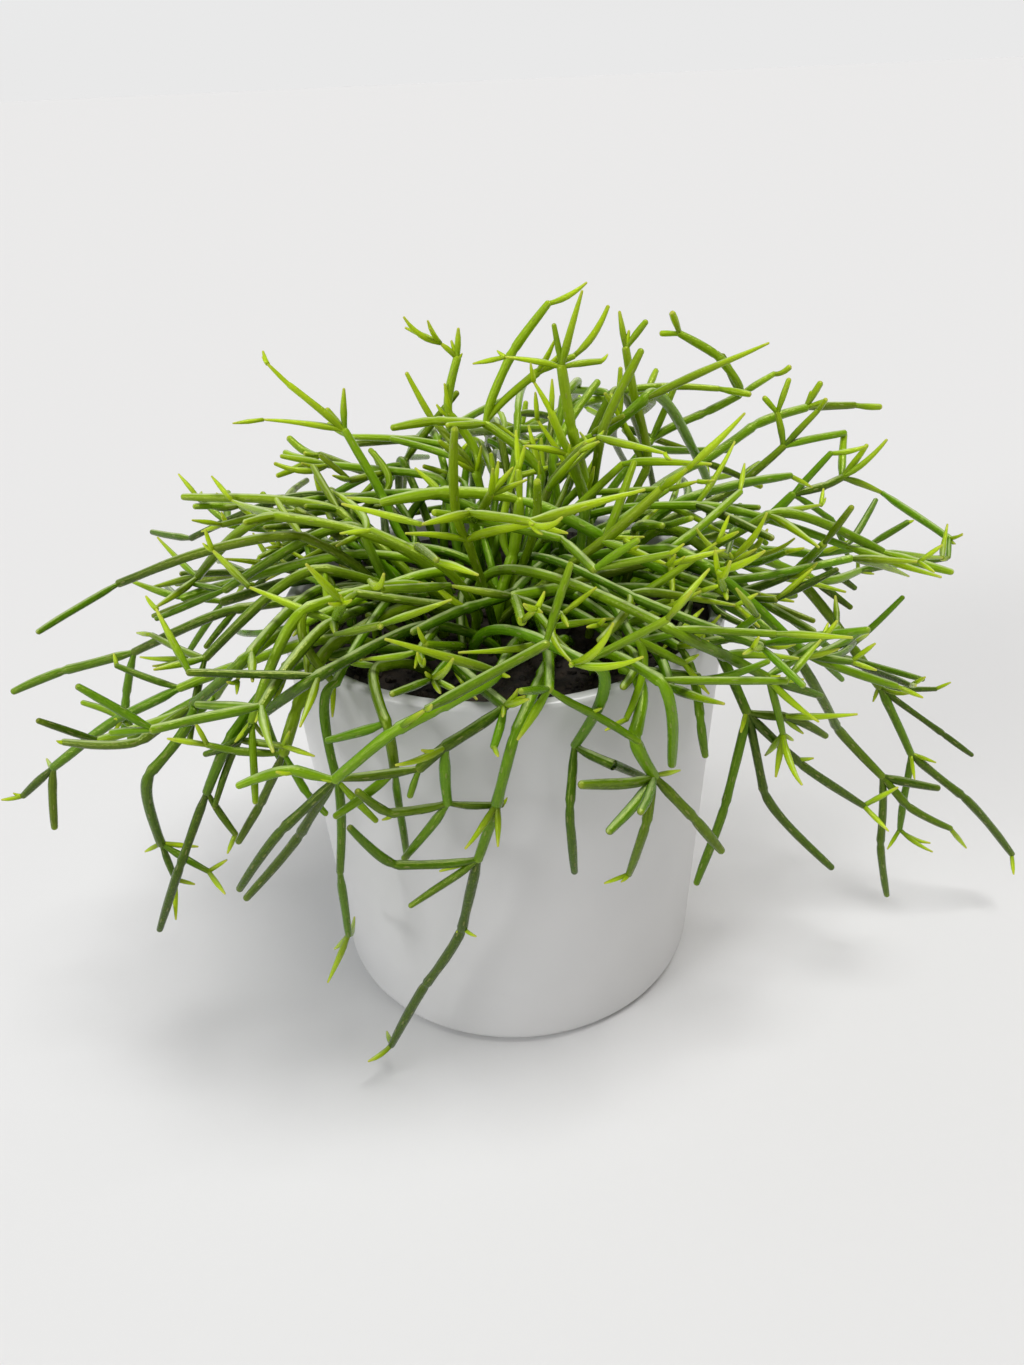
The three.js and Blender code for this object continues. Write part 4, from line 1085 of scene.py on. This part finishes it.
class Finish:
    """The nodes of one material or world. Each is made from its kind, the outlet that is read, its sockets'
    values or links, and its settings."""

    def __init__(self, owner):
        owner.use_nodes = True
        self.owner = owner
        self.tree = owner.node_tree
        self.tree.nodes.clear()

    def node(self, kind, outlet=None, sockets=None, **settings):
        made = self.tree.nodes.new("ShaderNode" + kind)
        for setting, value in settings.items():
            setattr(made, setting, value)
        for socket, value in (sockets or {}).items():
            if isinstance(value, Reading):
                self.tree.links.new(value.socket, made.inputs[socket])
            else:
                made.inputs[socket].default_value = value
        return Reading(self, made.outputs[outlet]) if outlet is not None else None

    def noise(self, vector, scale, detail=3.0, roughness=0.55):
        sockets = {"Vector": vector, "Scale": scale, "Detail": detail, "Roughness": roughness}
        return self.node("TexNoise", "Fac", sockets)

    def blend(self, share, first, second):
        """A colour between two others."""
        return self.node("Mix", 2, {0: share, 6: first, 7: second}, data_type="RGBA")

    def part(self, axis, vector):
        return self.node("SeparateXYZ", axis, {0: vector})

    def mark(self, name):
        return self.node("Attribute", "Fac", attribute_name=name)

    def place(self):
        return self.node("TexCoord", "Object")

    def bump(self, height, strength, distance):
        return self.node("Bump", "Normal", {"Height": height, "Strength": strength, "Distance": distance})

    def surface(self, **sockets):
        """The finished material, whose shader's sockets are given by name with _ for each space."""
        names = {name.replace("_", " "): value for name, value in sockets.items()}
        self.node("OutputMaterial", None, {"Surface": self.node("BsdfPrincipled", "BSDF", names)})
        return self.owner


# The flesh: its colours, then how much of them shows, and the shade by height in metres, from low to high;
# some of these are painted light and shade
OLD_GREEN = (0.014, 0.052, 0.0005, 1)
MID_GREEN = (0.105, 0.275, 0.001, 1)
YOUNG_GREEN = (0.47, 0.66, 0.008, 1)
# Painted shade: the darker green of the furrows
FURROW_PAINTED_SHADE = (0.02, 0.06, 0.005, 1)
BLOOM = (0.34, 0.46, 0.04, 1)
# Painted highlight: the pale streak along the top of each stem
PAINTED_HIGHLIGHT = (0.68, 0.80, 0.36, 1)
PALE_TIP = (0.72, 0.58, 0.12, 1)
SPECK = (0.30, 0.27, 0.10, 1)
FURROW_PAINTED_SHADE_SHARE = 0.04
BLOOM_SHARE = 0.16
PAINTED_HIGHLIGHT_SHARE = 0.75
PAINTED_HIGHLIGHT_FROM = 0.78
SPECK_SHARE = 0.35
# Darker low down: hanging stems are older, and it is painted shade as well
AGE_AND_PAINTED_SHADE_BY_HEIGHT = (0.08, 0.165, 0.55, 1.2)

# Its streaks and grain, by scale, detail and roughness, its furrows, and its specks
STREAKS = (2.6, 4.0, 0.6)
STREAK_WIDTH = 1.6
STREAK_PACE = 12
STREAK_SHIFT = 40
GRAIN = (1100, 3.0, 0.6)
FURROWS = 9
SPECK_SPACING = 0.055
SPECK_SIZE = 0.09
SPECK_EDGE = 2.4
SPECK_TURN = 0.381966
FLESH_BUMP = (0.7, 0.00035)

# The other finishes; a bump is given by its strength and its distance in metres
GLAZE = (0.60, 0.60, 0.596, 1)
GLAZE_CLOUD = (0.64, 0.638, 0.632, 1)
GLAZE_PIT = (0.35, 0.34, 0.32, 1)
GLAZE_BUMP = (0.12, 0.0006)
PEAT_DARK = (0.010, 0.008, 0.006, 1)
PEAT_BROWN = (0.045, 0.030, 0.020, 1)
PEAT_GRAIN = (0.16, 0.12, 0.085, 1)
PEAT_BUMP = (0.9, 0.0012)
FLOOR_TONE = 0.735
FLOOR_TOOTH = 0.741


def stem_flesh():
    """Waxy green flesh: darker and lighter streaks along it, shallow furrows with painted shade in them, pale
    specks in a spiral, and painted light: a highlight and a lighter top side.
    """
    f = Finish(bpy.data.materials.new("stem_flesh"))
    place = f.place()
    wrap = f.node("UVMap", "UV", uv_map="around_along")
    around, along = f.part("X", wrap), f.part("Y", wrap)
    youth_and_painted_light, pale, tone, facing_up_painted_light = (f.mark(name) for name in ("youth_and_painted_light", "pale", "tone", "facing_up_painted_light"))
    turn = around * TURN
    x, y = turn.cosine() * STREAK_WIDTH, turn.sine() * STREAK_WIDTH
    wound = f.node("CombineXYZ", "Vector", {0: x, 1: y, 2: along * STREAK_PACE + tone * STREAK_SHIFT})
    streaks = f.noise(wound, *STREAKS)
    patches = f.noise(place, 95)
    cloud = f.noise(place, 22, 2.0)
    grain = f.noise(place, *GRAIN)
    furrow = (turn * FURROWS + (streaks - 0.5) * 3).cosine() * 0.5 + 0.5
    row = along / SPECK_SPACING
    shift = (row.whole() * SPECK_TURN + tone * 7).rest()
    across = ((around + shift) * 2).rest() - 0.5
    up = row.rest() - 0.5
    gap = (across * across * 9 + up * up) ** 0.5
    speck = gap.step(SPECK_SIZE, SPECK_SIZE * SPECK_EDGE, 1, 0)
    # Darker low down, where hanging stems are older, and as painted shade; it also dims the painted highlight
    # there
    high = f.part("Z", place).step(*AGE_AND_PAINTED_SHADE_BY_HEIGHT)
    # Between old and mid green by random tone and by height, plus painted light: lighter on the top side of
    # each stem
    shade = ((streaks * 0.5 + patches * 0.3 + tone + cloud * 0.3 - 0.72) * high + facing_up_painted_light * 0.18).held()
    # A painted highlight: a pale streak along the top of each stem, fainter low down
    painted_highlight = facing_up_painted_light.step(PAINTED_HIGHLIGHT_FROM, 1.0) * (streaks * 1.8 - 0.2).held() * high
    colour = f.blend(shade, OLD_GREEN, MID_GREEN)
    layers = [
        # Yellower where young, and on the top side of each stem as painted light
        ((youth_and_painted_light + (streaks - 0.5) * 0.25 + facing_up_painted_light * 0.06).held(), YOUNG_GREEN),
        # Painted shade: the furrows a touch darker
        (furrow * FURROW_PAINTED_SHADE_SHARE, FURROW_PAINTED_SHADE),
        (grain.step(0.5, 0.8) * BLOOM_SHARE, BLOOM),
        # The painted highlight
        ((painted_highlight * PAINTED_HIGHLIGHT_SHARE).held(), PAINTED_HIGHLIGHT),
        (speck * SPECK_SHARE, SPECK),
        ((pale * (0.65 + 0.5 * patches)).held(), PALE_TIP),
    ]
    for share, layer in layers:
        colour = f.blend(share, colour, layer)
    return f.surface(
        Base_Color=colour,
        Roughness=(0.18 + streaks * 0.12 + speck * 0.2).held(),
        Normal=f.bump((1 - furrow) * 0.15 + streaks * 0.25 + grain * 0.7 + speck * 0.4, *FLESH_BUMP),
        Specular_IOR_Level=0.6,
        Specular_Tint=(0.95, 1.0, 0.3, 1),
    )


def white_glaze():
    """White satin glaze: the faintest cloud in its tone, a slight unevenness, and a few pinholes."""
    f = Finish(bpy.data.materials.new("white_glaze"))
    place = f.place()
    cloud = f.noise(place, 14)
    fine = f.noise(place, 420, 2.0)
    broad = f.noise(place, 38, 2.0)
    pits = fine.step(0.74, 0.8)
    return f.surface(
        Base_Color=f.blend(pits * 0.12, f.blend(cloud.step(0.3, 0.7), GLAZE, GLAZE_CLOUD), GLAZE_PIT),
        Roughness=(0.30 + cloud * 0.1 + fine * 0.05).held(),
        Normal=f.bump(broad * 0.6 + fine * 0.08 - pits * 0.3, *GLAZE_BUMP),
        Coat_Weight=0.25,
        Coat_Roughness=0.2,
    )


def dark_peat(name, light):
    """Damp peat: near black with brown fibres and a few pale grains."""
    f = Finish(bpy.data.materials.new(name))
    place = f.place()
    coarse = f.noise(place, 240, 5.0, 0.7)
    fine = f.noise(place, 900, 4.0, 0.7)
    colour = f.blend(coarse.step(0.35, 0.7), PEAT_DARK, PEAT_BROWN)
    return f.surface(
        Base_Color=f.blend(fine.step(0.66, 0.76) * light, colour, PEAT_GRAIN),
        Roughness=(0.82 + fine * 0.15).held(),
        Normal=f.bump(coarse * 0.7 + fine * 0.3, *PEAT_BUMP),
    )


def floor_paper():
    """Plain pale paper with a barely visible tooth."""
    f = Finish(bpy.data.materials.new("floor_paper"))
    tooth = f.noise(f.place(), 300, 2.0)
    colour = f.blend(tooth, (FLOOR_TONE,) * 3 + (1,), (FLOOR_TOOTH,) * 3 + (1,))
    return f.surface(Base_Color=colour, Roughness=0.95, Specular_IOR_Level=0.0)


# The object

PEAT_SEED = 20
STEM_SEED = 100
THIN_SEED = 300

flesh_finish = stem_flesh()
draw = np.random.default_rng(PEAT_SEED)
pot = pot_profile()
pot_faces = closed_grid(len(pot), POT_TURNS)[0]
mesh_piece("white_cup", turned_profile(pot, POT_TURNS), pot_faces, white_glaze(), ["pot"])
soil = soil_places(draw)
soil_faces = closed_grid(SOIL_ROWS + 2, SOIL_TURNS)[0]
mesh_piece("peat_mound", soil, soil_faces, dark_peat("peat_mound", 0.5), ["soil"])
crumbs, crumb_faces = lumps(CRUMBS, draw)
mesh_piece("peat_crumbs", crumbs, [crumb_faces], dark_peat("peat_crumbs", 0.9), smooth=False)
for number, runs in enumerate(stems):
    label = f"{number + 1:02d}"
    stem_piece("green_stem_" + label, runs, np.random.default_rng(STEM_SEED + number), ["stem_" + label])
for number, runs in enumerate(between_stems):
    stem_piece(f"thin_stem_{number + 1:02d}", runs, np.random.default_rng(THIN_SEED + number))


# The floor, the light and the camera

HORIZON = 0.815
SKY = 0.32
COOL_SIDE = (1.12, 1.16, 1.20, 1)
WARM_SIDE = (0.72, 0.65, 0.59, 1)
FLOOR_HALF = 200.0
CAMERA_PLACE = (0, -0.2831, 0.2764)
CAMERA_RIGHT = (0.99886, -0.02907, -0.03798)
CAMERA_UP = (0.04757, 0.52223, 0.85148)
CAMERA_AHEAD = (0.00492, 0.85231, -0.52302)
CAMERA_LENS = 25.98

# The suns: the way each shines, its strength, its angle in degrees, and its colour
SUNS = {
    "key": ((-0.22, 0.06, -1.0), 2.1, 22, (1.0, 0.995, 0.99)),
    "fill": ((0.92, 0.62, -0.5), 1.0, 20, (0.985, 0.99, 1.0)),
}


def make_floor():
    corners = [(x * FLOOR_HALF, y * FLOOR_HALF, 0) for x, y in [(-1, -1), (1, -1), (1, 1), (-1, 1)]]
    mesh = bpy.data.meshes.new("floor")
    mesh.from_pydata(corners, [], [(0, 1, 2, 3)])
    mesh.materials.append(floor_paper())
    floor = bpy.data.objects.new("floor", mesh)
    bpy.context.collection.objects.link(floor)


def make_sun(name, heading, strength, angle, colour):
    """A far soft light, turned from straight down to shine along heading."""
    lamp = bpy.data.lights.new(name, "SUN")
    lamp.energy = strength
    lamp.angle = angle * DEGREE
    lamp.color = colour
    holder = bpy.data.objects.new(name, lamp)
    ahead = unit(heading)
    holder.rotation_mode = "AXIS_ANGLE"
    holder.rotation_axis_angle = (math.acos(float(-UP @ ahead)), *unit(np.cross(-UP, ahead)))
    bpy.context.collection.objects.link(holder)


def make_sky():
    """A pale sky: white and brightest at the horizon, dimmer overhead, where it is cooler on the left and
    warmer on the right.
    """
    bpy.context.scene.world = bpy.data.worlds.new("sky")
    f = Finish(bpy.context.scene.world)
    heading = f.node("TexCoord", "Generated")
    rightward, upward = f.part("X", heading), f.part("Z", heading)
    tint = f.blend(rightward.step(-0.8, 0.8), COOL_SIDE, WARM_SIDE)
    colour = f.blend(upward.step(0.02, 0.3), (1, 1, 1, 1), tint)
    overhead = upward.step(0.1, 0.5, HORIZON, SKY)
    light = f.node("Background", "Background", {"Color": colour, "Strength": overhead})
    f.node("OutputWorld", None, {"Surface": light})


def make_camera():
    lens = bpy.data.cameras.new("camera")
    lens.sensor_fit = "AUTO"
    lens.sensor_width = 36
    lens.lens = CAMERA_LENS
    lens.clip_start = 0.01
    camera = bpy.data.objects.new("camera", lens)
    matrix = np.eye(4)
    matrix[:3] = np.array([CAMERA_RIGHT, CAMERA_UP, [-value for value in CAMERA_AHEAD], CAMERA_PLACE]).T
    camera.matrix_world = Matrix(matrix.tolist())
    bpy.context.collection.objects.link(camera)
    bpy.context.scene.camera = camera


make_floor()
for name, sun in SUNS.items():
    make_sun(name, *sun)
make_sky()
make_camera()
bpy.context.scene.view_settings.view_transform = "Standard"
